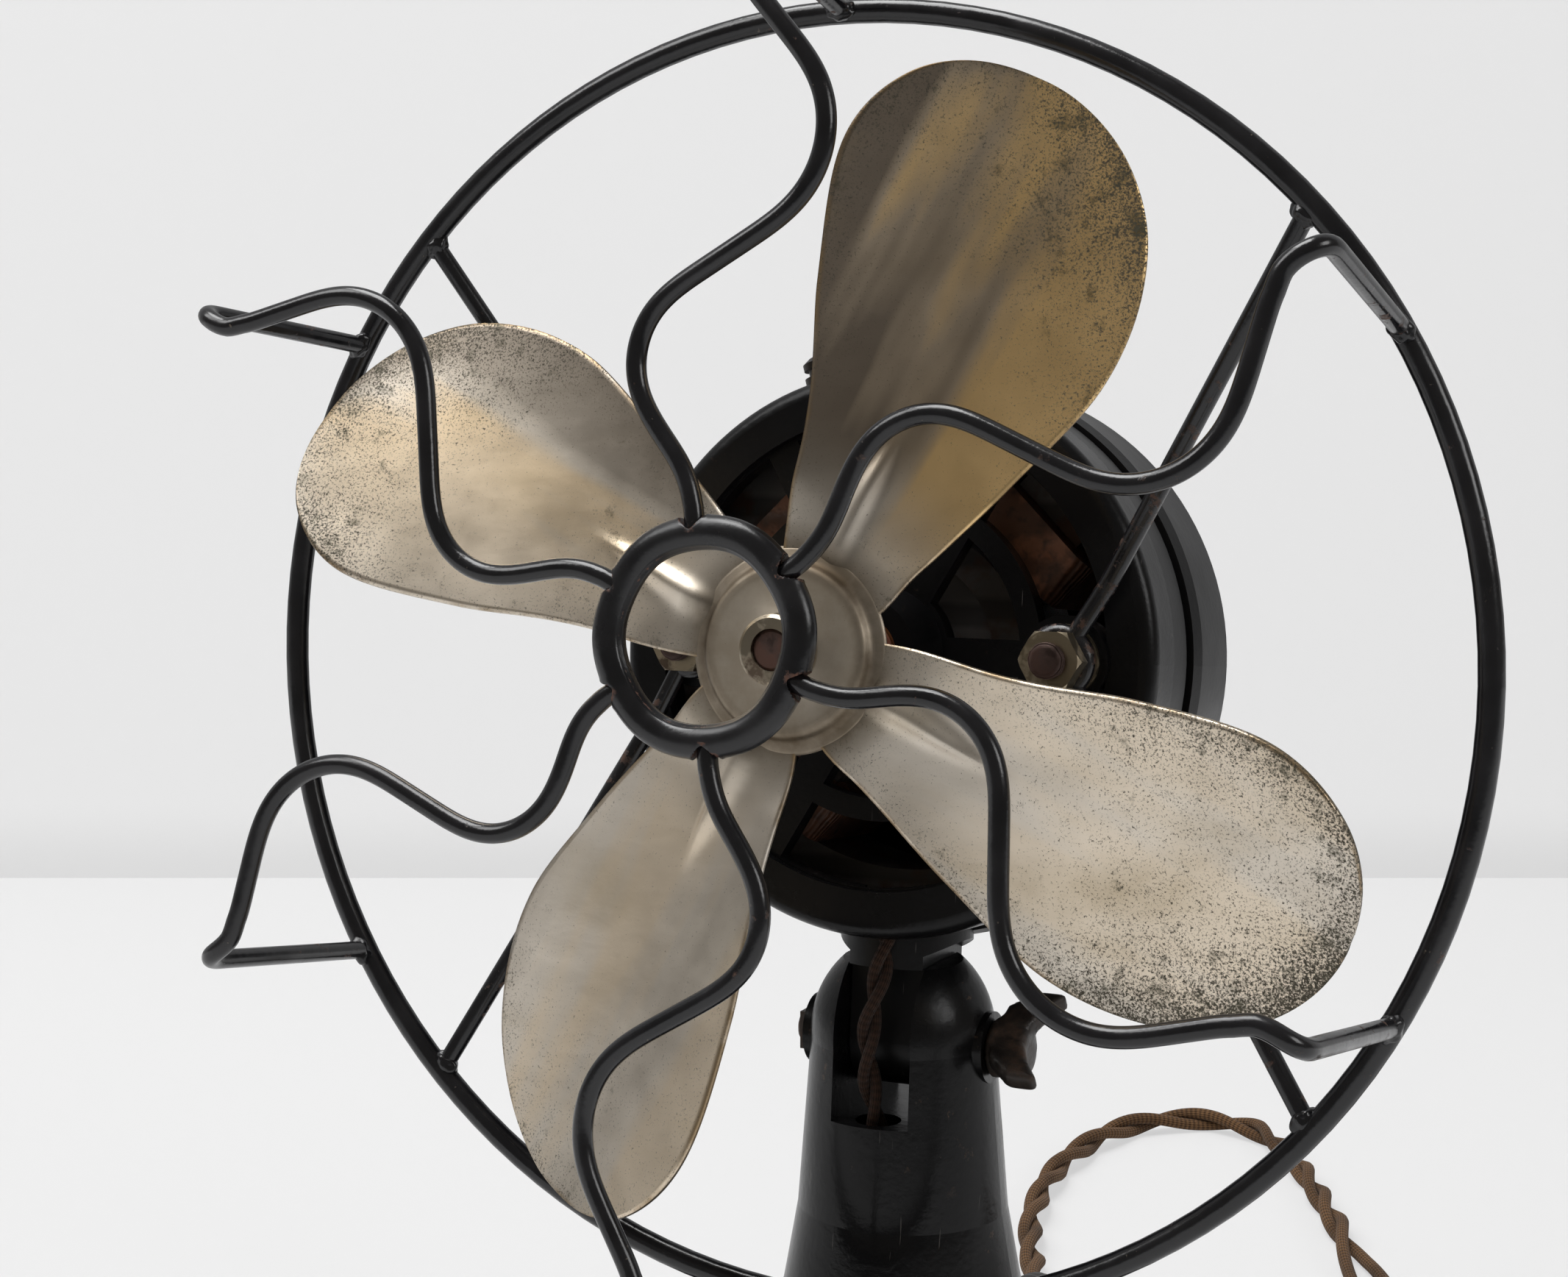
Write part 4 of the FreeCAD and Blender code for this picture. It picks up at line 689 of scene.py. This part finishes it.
skin = Skin("worn_nickel")
reach = skin.stored("reach")
edge = skin.stored("edge_gap")
brushed = skin.clouds(18, 5.0, stretch=(1, 1, 2.4))
blotch = skin.clouds(75, 6.0, 0.6)
pits = skin.clouds(2500, 5.0, 0.8)
dust = skin.clouds(2600, 3.0)
hairs = skin.clouds(55, 3.0, stretch=(18, 2, 2))
colour = skin.ramp(brushed, [(0.30, 0.560, 0.505, 0.425), (0.50, 0.740, 0.672, 0.578),
                             (0.70, 0.640, 0.570, 0.470)])
# Painted reflections lie in golden and dark bands along the blade, over a brassy tint that is partly tarnish
band_place = skin.node("CombineXYZ", skin.times(skin.stored("across"), 62.0), skin.times(reach, 0.9))
reflection_bands = skin.clouds(1.0, 3.0, place=band_place.outputs["Vector"])
reflection_bands = skin.plus(reflection_bands, skin.stored("reflection_lean"))
tarnish_and_reflection = skin.stored("tarnish_and_reflection")
# Brassy tint, partly tarnish and partly painted reflection
warm_tint_and_reflection = skin.times(skin.combine("POWER", tarnish_and_reflection, 3.0), 0.62)
colour = skin.layer(warm_tint_and_reflection, colour, (0.440, 0.315, 0.175))
# Golden painted reflection in some bands, dark painted reflection in others
golden_reflection = skin.times(skin.past(reflection_bands, 0.44, 0.56), tarnish_and_reflection)
dark_reflection = skin.times(skin.ramp(reflection_bands, [(0.34, 1), (0.45, 0)]), tarnish_and_reflection)
colour = skin.layer(skin.times(golden_reflection, 0.85), colour, (1.0, 0.690, 0.310))
colour = skin.layer(skin.times(dark_reflection, 0.80), colour, (0.165, 0.135, 0.108))
brass_share = skin.times(skin.past(brushed, 0.54, 0.68),
                         skin.ramp(blotch, [(0.40, 0.10), (0.62, 0.50)]))
colour = skin.layer(brass_share, colour, (0.43, 0.335, 0.200))
dulled = skin.ramp(reach, [(0.165, 0.80), (0.215, 0)])
colour = skin.layer(skin.times(dulled, skin.ramp(blotch, [(0.3, 0.55), (0.6, 1)])), colour,
                    (0.270, 0.222, 0.160))
# Painted shade in the hub disc's step and round the blade roots
step_shade = skin.ramp(reach, [(0.120, 0), (0.146, 1.0), (0.168, 0.55), (0.215, 0)])
colour = skin.layer(skin.times(step_shade, skin.ramp(blotch, [(0.3, 0.35), (0.62, 0.95)])), colour,
                    (0.075, 0.052, 0.030))
rim = skin.node("MapRange", edge, 0.9, 0.1).outputs["Result"]
rim_share = skin.times(rim, skin.past(blotch, 0.42, 0.55, 0.8))
colour = skin.layer(rim_share, colour, (0.30, 0.20, 0.095))
wear_here = skin.stored("pitting")
crowded = skin.clouds(260, 6.0, 0.7)
bias = skin.plus(skin.times(wear_here, 0.16), skin.times(crowded, 0.12))
pitted = skin.past(skin.plus(pits, bias), 0.715, 0.765)
colour = skin.layer(pitted, colour, (0.055, 0.046, 0.030))
smudge = skin.plus(crowded, skin.times(wear_here, 0.16))
smudge = skin.past(smudge, 0.70, 0.86, 0.80)
colour = skin.layer(smudge, colour, (0.065, 0.062, 0.038))
rough = skin.plus(skin.ramp(blotch, [(0.3, 0.31), (0.7, 0.43)]), skin.times(dulled, 0.16))
skin.surface(base_color=colour, metallic=skin.combine("SUBTRACT", 0.96, skin.times(pitted, 0.75)),
             roughness=skin.combine("MAXIMUM", rough, skin.times(pitted, 0.75)))
skin.relief((brushed, 0.25, 0.0010), (blotch, 0.12, 0.0004), (hairs, 0.10, 0.0001), (dust, 0.10, 0.00006),
            (pitted, -0.25, 0.00008))
fan_piece = new_mesh("fan_spider", fan_points, fan_faces, skin.material)
for name, values in zip(("reach", "edge_gap", "across", "tarnish_and_reflection", "pitting", "reflection_lean"), zip(*fan_values)):
    store_values(fan_piece, name, values)
thick = fan_piece.modifiers.new("sheet", "SOLIDIFY")
thick.thickness = sheet
thick.offset = -1.0
fit(fan_piece, "rotor", "nickel_plate", 50, "fan_blade")


# --- Hub collar and shaft end ---------------------------------------------------------------------
# The fan's hub is turned brass, plated like the blades; the steel shaft stops just inside its collar
# and has rusted, and so has the set screw.

def plated(name, tint, roughness, stain, stain_from):
    """Plated or bare metal, finely marked, with brown stains."""
    skin = Skin(name)
    blotch = skin.clouds(190, 7.0, 0.65)
    fine = skin.clouds(2400, 2.0)
    stained = skin.past(blotch, stain_from, stain_from + 0.14)
    skin.surface(base_color=skin.layer(stained, tint, stain),
                 metallic=skin.combine("SUBTRACT", 1.0, skin.times(stained, 0.8)),
                 roughness=skin.plus(roughness, skin.times(stained, 0.45)))
    skin.relief((blotch, 0.2, 0.0002), (fine, 0.15, 0.00006))
    return skin.material


finish_nodes(plated("hub_nickel", (0.40, 0.345, 0.26), 0.34, (0.085, 0.058, 0.036), 0.54), "blade_hub")
finish_nodes(plated("rusted_steel", (0.085, 0.060, 0.052), 0.50, (0.085, 0.042, 0.030), 0.42),
             "rotor_shaft", "set_screw", "guard_studs")
finish_nodes(plated("nut_nickel", (0.40, 0.335, 0.235), 0.34, (0.075, 0.048, 0.028), 0.52),
             "guard_nuts", "rear_nuts", "guard_washers")
finish_nodes(plated("pivot_iron", (0.060, 0.050, 0.045), 0.42, (0.100, 0.055, 0.035), 0.50), "pivot_nut")
for name in ("guard_nuts", "rear_nuts", "pivot_nut"):
    soften = nodes[name].modifiers.new("edges", "BEVEL")
    soften.width = 0.0003
    soften.segments = 2
    soften.angle_limit = math.radians(30)


# --- Threaded ends of the studs -------------------------------------------------------------------
# The studs' front ends stand out of their nuts: a few turns of thread and a blunt rusty point.

stud_reach = 0.0355
stud_front = 0.0313
stud_radius = 0.00292
thread_radius, thread_gap, thread_turns = 0.00024, 0.0006, 3
tips = []
for sign in (1, -1):
    bpy.ops.mesh.primitive_cylinder_add(vertices=40, radius=stud_radius, depth=0.0018,
                                        location=(0, 0, -0.0001))
    point = bpy.context.object
    round_off = point.modifiers.new("point", "BEVEL")
    round_off.width = 0.0008
    round_off.segments = 4
    bpy.ops.object.modifier_apply(modifier="point")
    threads = [point]
    for turn in range(thread_turns):
        bpy.ops.mesh.primitive_torus_add(major_segments=48, minor_segments=10, major_radius=stud_radius,
                                         minor_radius=thread_radius,
                                         location=(0, 0, -0.0012 + turn * thread_gap),
                                         rotation=(math.radians(2), 0, 0))
        threads.append(bpy.context.object)
    tip = joined(threads, "stud_tip")
    place = head_frame @ Matrix.Translation((sign * stud_reach, 0, stud_front)) @ tip.matrix_world
    for vertex in tip.data.vertices:
        worn = 1 + 0.05 * noise.noise(vertex.co * 900 + Vector((sign * 3.1, 0, 0)))
        vertex.co = place @ (vertex.co * worn)
    tip.matrix_world = Matrix.Identity(4)
    tips.append(tip)
stud_tips = joined(tips, "stud_tips")
stud_rust = plated("stud_rust", (0.065, 0.045, 0.040), 0.50, (0.062, 0.031, 0.023), 0.42)
stud_tips.data.materials.append(stud_rust)
fit(stud_tips, "head", "dark_steel", 50)


# --- Wing screw -----------------------------------------------------------------------------------
# A cast iron wing head on the screw that pinches the fork: soft corners, worn brown.

skin = Skin("wing_iron")
blotch = skin.clouds(170, 7.0, 0.65)
grains = skin.clouds(1100, 3.0)
colour = skin.ramp(blotch, [(0.34, 0.016, 0.014, 0.013), (0.52, 0.034, 0.025, 0.020),
                            (0.70, 0.095, 0.055, 0.036)])
skin.surface(base_color=colour, metallic=0.25, roughness=skin.ramp(blotch, [(0.3, 0.30), (0.65, 0.62)]))
skin.relief((blotch, 0.5, 0.0004), (grains, 0.4, 0.0002))
finish_nodes(skin.material, "wing_screw")
cast = nodes["wing_screw"].modifiers.new("cast", "REMESH")
cast.mode = "VOXEL"
cast.voxel_size = 0.0005
cast.use_smooth_shade = True
rounded = nodes["wing_screw"].modifiers.new("corners", "SMOOTH")
rounded.factor = 0.6
rounded.iterations = 9
fuller = nodes["wing_screw"].modifiers.new("cast_skin", "DISPLACE")
fuller.strength = 0.0005
fuller.mid_level = 0.0


# --- Windings and laminations ---------------------------------------------------------------------
# Four coils of enamelled copper wire bound with varnished tape, on a stack of thin iron sheets; the
# rotor turns inside them.

def stripes(skin, scale, distortion):
    """Even stripes across the shaft's way, as wires laid side by side or sheets seen on edge."""
    item = skin.node("TexWave", skin.place, scale=scale, distortion=distortion)
    item.bands_direction = "Y"
    return item.outputs["Fac"]


def winding(name, copper, tape):
    """Turns of wire under patches of tape."""
    skin = Skin(name)
    turns = stripes(skin, 420.0, 1.5)
    patch = skin.clouds(90, 5.0)
    dirt = skin.clouds(420, 5.0)
    wires = skin.ramp(turns, [(0.1, *[value * 0.4 for value in copper]), (0.7, *copper)])
    colour = skin.layer(skin.past(patch, 0.46, 0.52), wires, tape)
    colour = skin.layer(skin.past(dirt, 0.5, 0.7, 0.8), colour, (0.02, 0.013, 0.01))
    skin.surface(base_color=colour, roughness=0.48)
    skin.relief((turns, 0.6, 0.0004), (dirt, 0.3, 0.0002))
    return skin.material


def laminated(name, tint):
    """Thin iron sheets seen on edge, with oil and a little rust."""
    skin = Skin(name)
    sheets = stripes(skin, 330.0, 0.2)
    rust = skin.clouds(140, 6.0)
    grey = skin.ramp(sheets, [(0.2, *[value * 0.5 for value in tint]), (0.6, *tint)])
    colour = skin.layer(skin.past(rust, 0.5, 0.66, 0.85), grey, (0.085, 0.042, 0.026))
    skin.surface(base_color=colour, metallic=0.55, roughness=0.5)
    skin.relief((sheets, 0.5, 0.0003), (rust, 0.2, 0.0002))
    return skin.material


finish_nodes(winding("copper_turns", (0.215, 0.088, 0.045), (0.100, 0.044, 0.024)), "field_coils")
finish_nodes(laminated("stator_iron", (0.14, 0.13, 0.125)), "stator_core")
finish_nodes(laminated("rotor_iron", (0.11, 0.10, 0.095)), "rotor_core")


# --- Small turned parts ---------------------------------------------------------------------------
# Bronze bushes, fibre thrust washers and switch plate, the oiler with its lid, and the knob, plug and
# gland of moulded resin.

finish_nodes(plated("bush_bronze", (0.42, 0.25, 0.12), 0.32, (0.12, 0.07, 0.035), 0.55),
             "front_bush", "rear_bush")
finish_nodes(plated("oiler_brass", (0.060, 0.055, 0.050), 0.34, (0.16, 0.105, 0.05), 0.58), "oil_cup")


def fibre(name, tint, dark, grain_scale):
    """Pressed fibre or moulded resin with a fine mottle."""
    skin = Skin(name)
    mottle = skin.clouds(grain_scale, 7.0, 0.6)
    fine = skin.clouds(1800, 2.0)
    skin.surface(base_color=skin.ramp(mottle, [(0.35, *dark), (0.65, *tint)]),
                 roughness=skin.ramp(mottle, [(0.3, 0.34), (0.7, 0.52)]))
    skin.relief((mottle, 0.2, 0.0003), (fine, 0.2, 0.0001))
    return skin.material


finish_nodes(fibre("red_fibre", (0.20, 0.075, 0.045), (0.13, 0.048, 0.030), 260), "thrust_washers")
finish_nodes(fibre("black_fibre", (0.045, 0.038, 0.034), (0.025, 0.021, 0.019), 200), "switch_plate")
finish_nodes(fibre("dark_bakelite", (0.055, 0.028, 0.018), (0.026, 0.014, 0.010), 120),
             "switch_knob", "plug_body", "cord_gland")


# --- Underside ------------------------------------------------------------------------------------
# A zinc-plated closing plate on four screws, covered by a disc of green felt; the switch's steel lever
# and the plug's brass blades.

finish_nodes(plated("dull_zinc", (0.36, 0.36, 0.35), 0.45, (0.14, 0.11, 0.08), 0.60),
             "base_plate", "plate_screws")
finish_nodes(plated("lever_steel", (0.40, 0.38, 0.35), 0.35, (0.12, 0.075, 0.045), 0.60), "switch_lever")
finish_nodes(plated("plug_brass", (0.55, 0.39, 0.16), 0.30, (0.20, 0.13, 0.06), 0.62), "plug_blades")
skin = Skin("green_felt")
hairy = skin.clouds(900, 8.0, 0.75)
worn = skin.clouds(60, 5.0)
green = skin.ramp(hairy, [(0.35, 0.018, 0.040, 0.026), (0.7, 0.065, 0.110, 0.072)])
skin.surface(base_color=skin.layer(skin.past(worn, 0.5, 0.7, 0.6), green, (0.085, 0.080, 0.060)),
             roughness=0.95)
skin.relief((worn, 0.3, 0.0006), (hairy, 0.8, 0.0005))
finish_nodes(skin.material, "base_felt")


# --- Way of the supply cord -----------------------------------------------------------------------
# The middle line of the cord: it leaves the back of the foot, lies in a loop on the table, winds into
# a coil and ends in its plug.

cord_diameter = 0.0062
resting = 0.0033
cord_route = [(0, 0.050, 0.0150), (0, 0.064, 0.0150), (0, 0.078, 0.0142), (-0.006, 0.099, 0.0070)]
cord_route += [(x, y, resting) for x, y in (
    (-0.017, 0.124), (-0.028, 0.154), (-0.035, 0.189), (-0.035, 0.219), (-0.030, 0.243), (-0.0165, 0.2575),
    (0.0020, 0.2575), (0.016, 0.239), (0.0280, 0.2150), (0.0395, 0.1885), (0.0495, 0.1650),
    (0.0590, 0.1440), (0.0655, 0.1270), (0.0665, 0.1080))]
coil_centre = Vector((0.104, 0.084))
coil_inner = 0.0319
coil_points = 14
points_left_off = 9
turn_places = [(0, 1), (0, 0), (0, -1), (1, -1), (1, 0), (1, 1), (2, 1), (2, 0)]
tail_route = [(0.113, 0.0480, 0.0155), (0.132, 0.0430, 0.0140), (0.152, 0.0535, 0.0126),
              (0.160, 0.080, 0.0122)]


def coil_route():
    """The coil's turns, laid beside and on each other a diameter apart."""
    route = []
    for step in range(len(turn_places) * coil_points - points_left_off):
        number = step / coil_points
        here = turn_places[int(number)]
        following = turn_places[min(int(number) + 1, len(turn_places) - 1)]
        share = max(0.0, (number % 1.0 - 0.7) / 0.3)
        layer_now = here[0] + (following[0] - here[0]) * share
        lane = here[1] + (following[1] - here[1]) * share
        radius = coil_inner + lane * cord_diameter
        angle = math.radians(180) - math.tau * number
        route.append((coil_centre.x + radius * math.cos(angle), coil_centre.y - radius * math.sin(angle),
                      resting + layer_now * cord_diameter))
    return route


def line_of(name, points):
    """Points along a smooth curve that has the route's points as its control points."""
    data = bpy.data.curves.new(name, "CURVE")
    data.dimensions = "3D"
    spline = data.splines.new("NURBS")
    spline.points.add(len(points) - 1)
    for control, place in zip(spline.points, points):
        control.co = (place[0], place[1], place[2], 1)
    spline.order_u = 3
    spline.use_endpoint_u = True
    spline.resolution_u = 10
    curve = bpy.data.objects.new(name, data)
    bpy.context.scene.collection.objects.link(curve)
    line = bpy.data.meshes.new_from_object(curve)
    places = [vertex.co.copy() for vertex in line.vertices]
    bpy.data.objects.remove(curve)
    bpy.data.meshes.remove(line)
    return places


whole_route = cord_route + coil_route() + tail_route
supply_places = line_of("cord_line", whole_route)
supply_line = even_line(supply_places, 0.0016)


# --- Cord sleeve ----------------------------------------------------------------------------------
# A ribbed taper of black rubber, moulded over the cord, that holds it straight where it leaves the
# gland in the foot's wall.

sleeve_length = 0.025
sleeve_from = 0.0105
gland_end, cord_end = 0.0054, 0.0038
ring_gap, ring_count = 0.0007, 33
ridge_height, ridge_gap = 0.00028, 0.0042
bpy.ops.mesh.primitive_cone_add(vertices=40, radius1=gland_end, radius2=cord_end, depth=sleeve_length,
                                end_fill_type="NGON")
sleeve = bpy.context.object
sleeve.name = "cord_sleeve"
bpy.ops.object.mode_set(mode="EDIT")
for level in [-0.0110] + [-0.0105 + ring * ring_gap for ring in range(ring_count)]:
    bpy.ops.mesh.select_all(action="SELECT")
    bpy.ops.mesh.bisect(plane_co=(0, 0, level), plane_no=(0, 0, 1))
bpy.ops.object.mode_set(mode="OBJECT")
sleeve_line = [place for place in supply_line if place.y < 0.12]
sleeve_frames = upright_frames(sleeve_line)
sleeve_runs = run_lengths(sleeve_line)
for vertex in sleeve.data.vertices:
    height = vertex.co.z + sleeve_length / 2
    ribbed = ridge_height * math.sin(math.tau * height / ridge_gap) * smooth_share(height, 0.002, 0.004)
    distance = sleeve_from + height
    spot = max(number for number, run in enumerate(sleeve_runs) if run <= distance)
    along = (distance - sleeve_runs[spot]) / (sleeve_runs[spot + 1] - sleeve_runs[spot])
    centre = sleeve_line[spot].lerp(sleeve_line[spot + 1], along)
    side, other = sleeve_frames[spot]
    reach = math.hypot(vertex.co.x, vertex.co.y)
    grown = (reach + (ribbed if reach > 0.003 else 0.0)) / max(reach, 1e-6)
    vertex.co = centre + (side * vertex.co.x + other * vertex.co.y) * grown
bpy.ops.object.mode_set(mode="EDIT")
bpy.ops.mesh.select_all(action="SELECT")
bpy.ops.mesh.normals_make_consistent(inside=False)
bpy.ops.object.mode_set(mode="OBJECT")
sleeve.data.materials.append(fibre("sleeve_rubber", (0.030, 0.027, 0.025), (0.014, 0.013, 0.012), 300))
fit(sleeve, "base", "bakelite", 50)


# --- Supply cord ----------------------------------------------------------------------------------
# A limp pair of rubber wires in brown braided cotton, twisted together, just under 2 m long; a gland
# holds it in the foot's wall.

strand_radius = 0.00155
cord_pitch = 0.043


def twisted_pair(line, radius, pitch, parting):
    """Two braided strands wound round each other along a line: points, faces and weave values.

    parting is (place, half length, widening): where the strands part for a little, side by side on
    the table, and how much further apart they are there; or None.
    """
    points, faces, weave = [], [], []
    frames = upright_frames(line)
    runs = run_lengths(line)
    looseness = [0.0] * len(line)
    middle = 0
    if parting:
        middle = min(range(len(line)), key=lambda number: (line[number] - Vector(parting[0])).length)
        looseness = [smooth_share(abs(run - runs[middle]), parting[1], 0.0) for run in runs]
    turns = [0.0]
    for number in range(1, len(line)):
        twist = math.tau * (runs[number] - runs[number - 1]) / pitch * (1 - looseness[number])
        turns.append(turns[-1] + twist)
    flat = math.pi / 2 - turns[middle] if parting else 0.0
    for start in (0.0, math.pi):
        centres = []
        for place, (side, other), run, turn, loose in zip(line, frames, runs, turns, looseness):
            turn += start + flat + 0.35 * math.sin(run / 0.041) * (1 - loose)
            apart = radius + (parting[2] if parting else 0.0) * loose
            centre = place + (side * math.cos(turn) + other * math.sin(turn)) * apart
            if parting:
                centre.z = max(radius * 1.06, centre.z - (place.z - radius * 1.1) * loose)
            centres.append(centre)
        tube(points, faces, weave, centres, radius)
    return points, faces, weave


def braid(name, light, dark):
    """Cotton yarn braided over a rubber wire: crossing bundles of thread, from values kept in the mesh."""
    skin = Skin(name)
    run = skin.stored("run")
    round_share = skin.stored("round")
    crossings = []
    for sign in (1, -1):
        turned = skin.times(round_share, sign * math.tau * 4)
        crossings.append(skin.combine("SINE", skin.plus(skin.times(run, 2300.0), turned), 0.0))
    height = skin.plus(skin.times(skin.times(*crossings), 0.5), 0.5)
    stains = skin.clouds(70, 5.0)
    fuzz = skin.clouds(3200, 4.0)
    colour = skin.ramp(height, [(0.15, *dark), (0.75, *light)])
    colour = skin.layer(skin.past(stains, 0.45, 0.7, 0.55), colour,
                        tuple(value * 0.5 for value in dark))
    skin.surface(base_color=colour, roughness=0.95, specular_ior_level=0.2, sheen_weight=0.06)
    skin.relief((height, 0.8, 0.0003), (fuzz, 0.4, 0.0001))
    return skin.material


def braided_cord(name, line, radius, pitch, material, parting=None):
    """The twisted pair as an object, with the values that its braid reads."""
    points, faces, weave = twisted_pair(line, radius, pitch, parting)
    item = new_mesh(name, points, faces, material)
    store_values(item, "run", [value[0] for value in weave])
    store_values(item, "round", [abs(value[1] * 2 - 1) for value in weave])
    return item


supply = braided_cord("supply_cord", supply_line, strand_radius, cord_pitch,
                      braid("brown_cotton", (0.150, 0.080, 0.036), (0.042, 0.022, 0.011)),
                      ((0.0605, 0.1420, resting), 0.048, 0.0023))
fit(supply, "base", "cloth_cord", 60, "cord", "cord_coil", "cord_tail")


# --- Motor lead -----------------------------------------------------------------------------------
# The same braided pair, thinner, from the motor's underside down through the fork into the base; its braid
# is painted about four times darker than the supply cord's, as painted shade of the fork's slot.

lead_route = [(0.0016, -0.0092, 0.1150), (0.0010, -0.0108, 0.1070), (-0.0002, -0.0132, 0.0990),
              (-0.0016, -0.0140, 0.0900), (-0.0014, -0.0128, 0.0815), (0, -0.0120, 0.0735),
              (0, -0.0120, 0.0660)]
lead_strand = 0.0011
lead_pitch = 0.021
# Braid colours darkened as painted shade of the fork's slot
lead = braided_cord("twisted_motor_lead", even_line(line_of("lead_line", lead_route), 0.0008), lead_strand,
                    lead_pitch, braid("slot_shaded_cotton", (0.040, 0.020, 0.012), (0.016, 0.008, 0.005)))
shade_soft(lead, 60)
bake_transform(lead)
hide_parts("motor_lead")
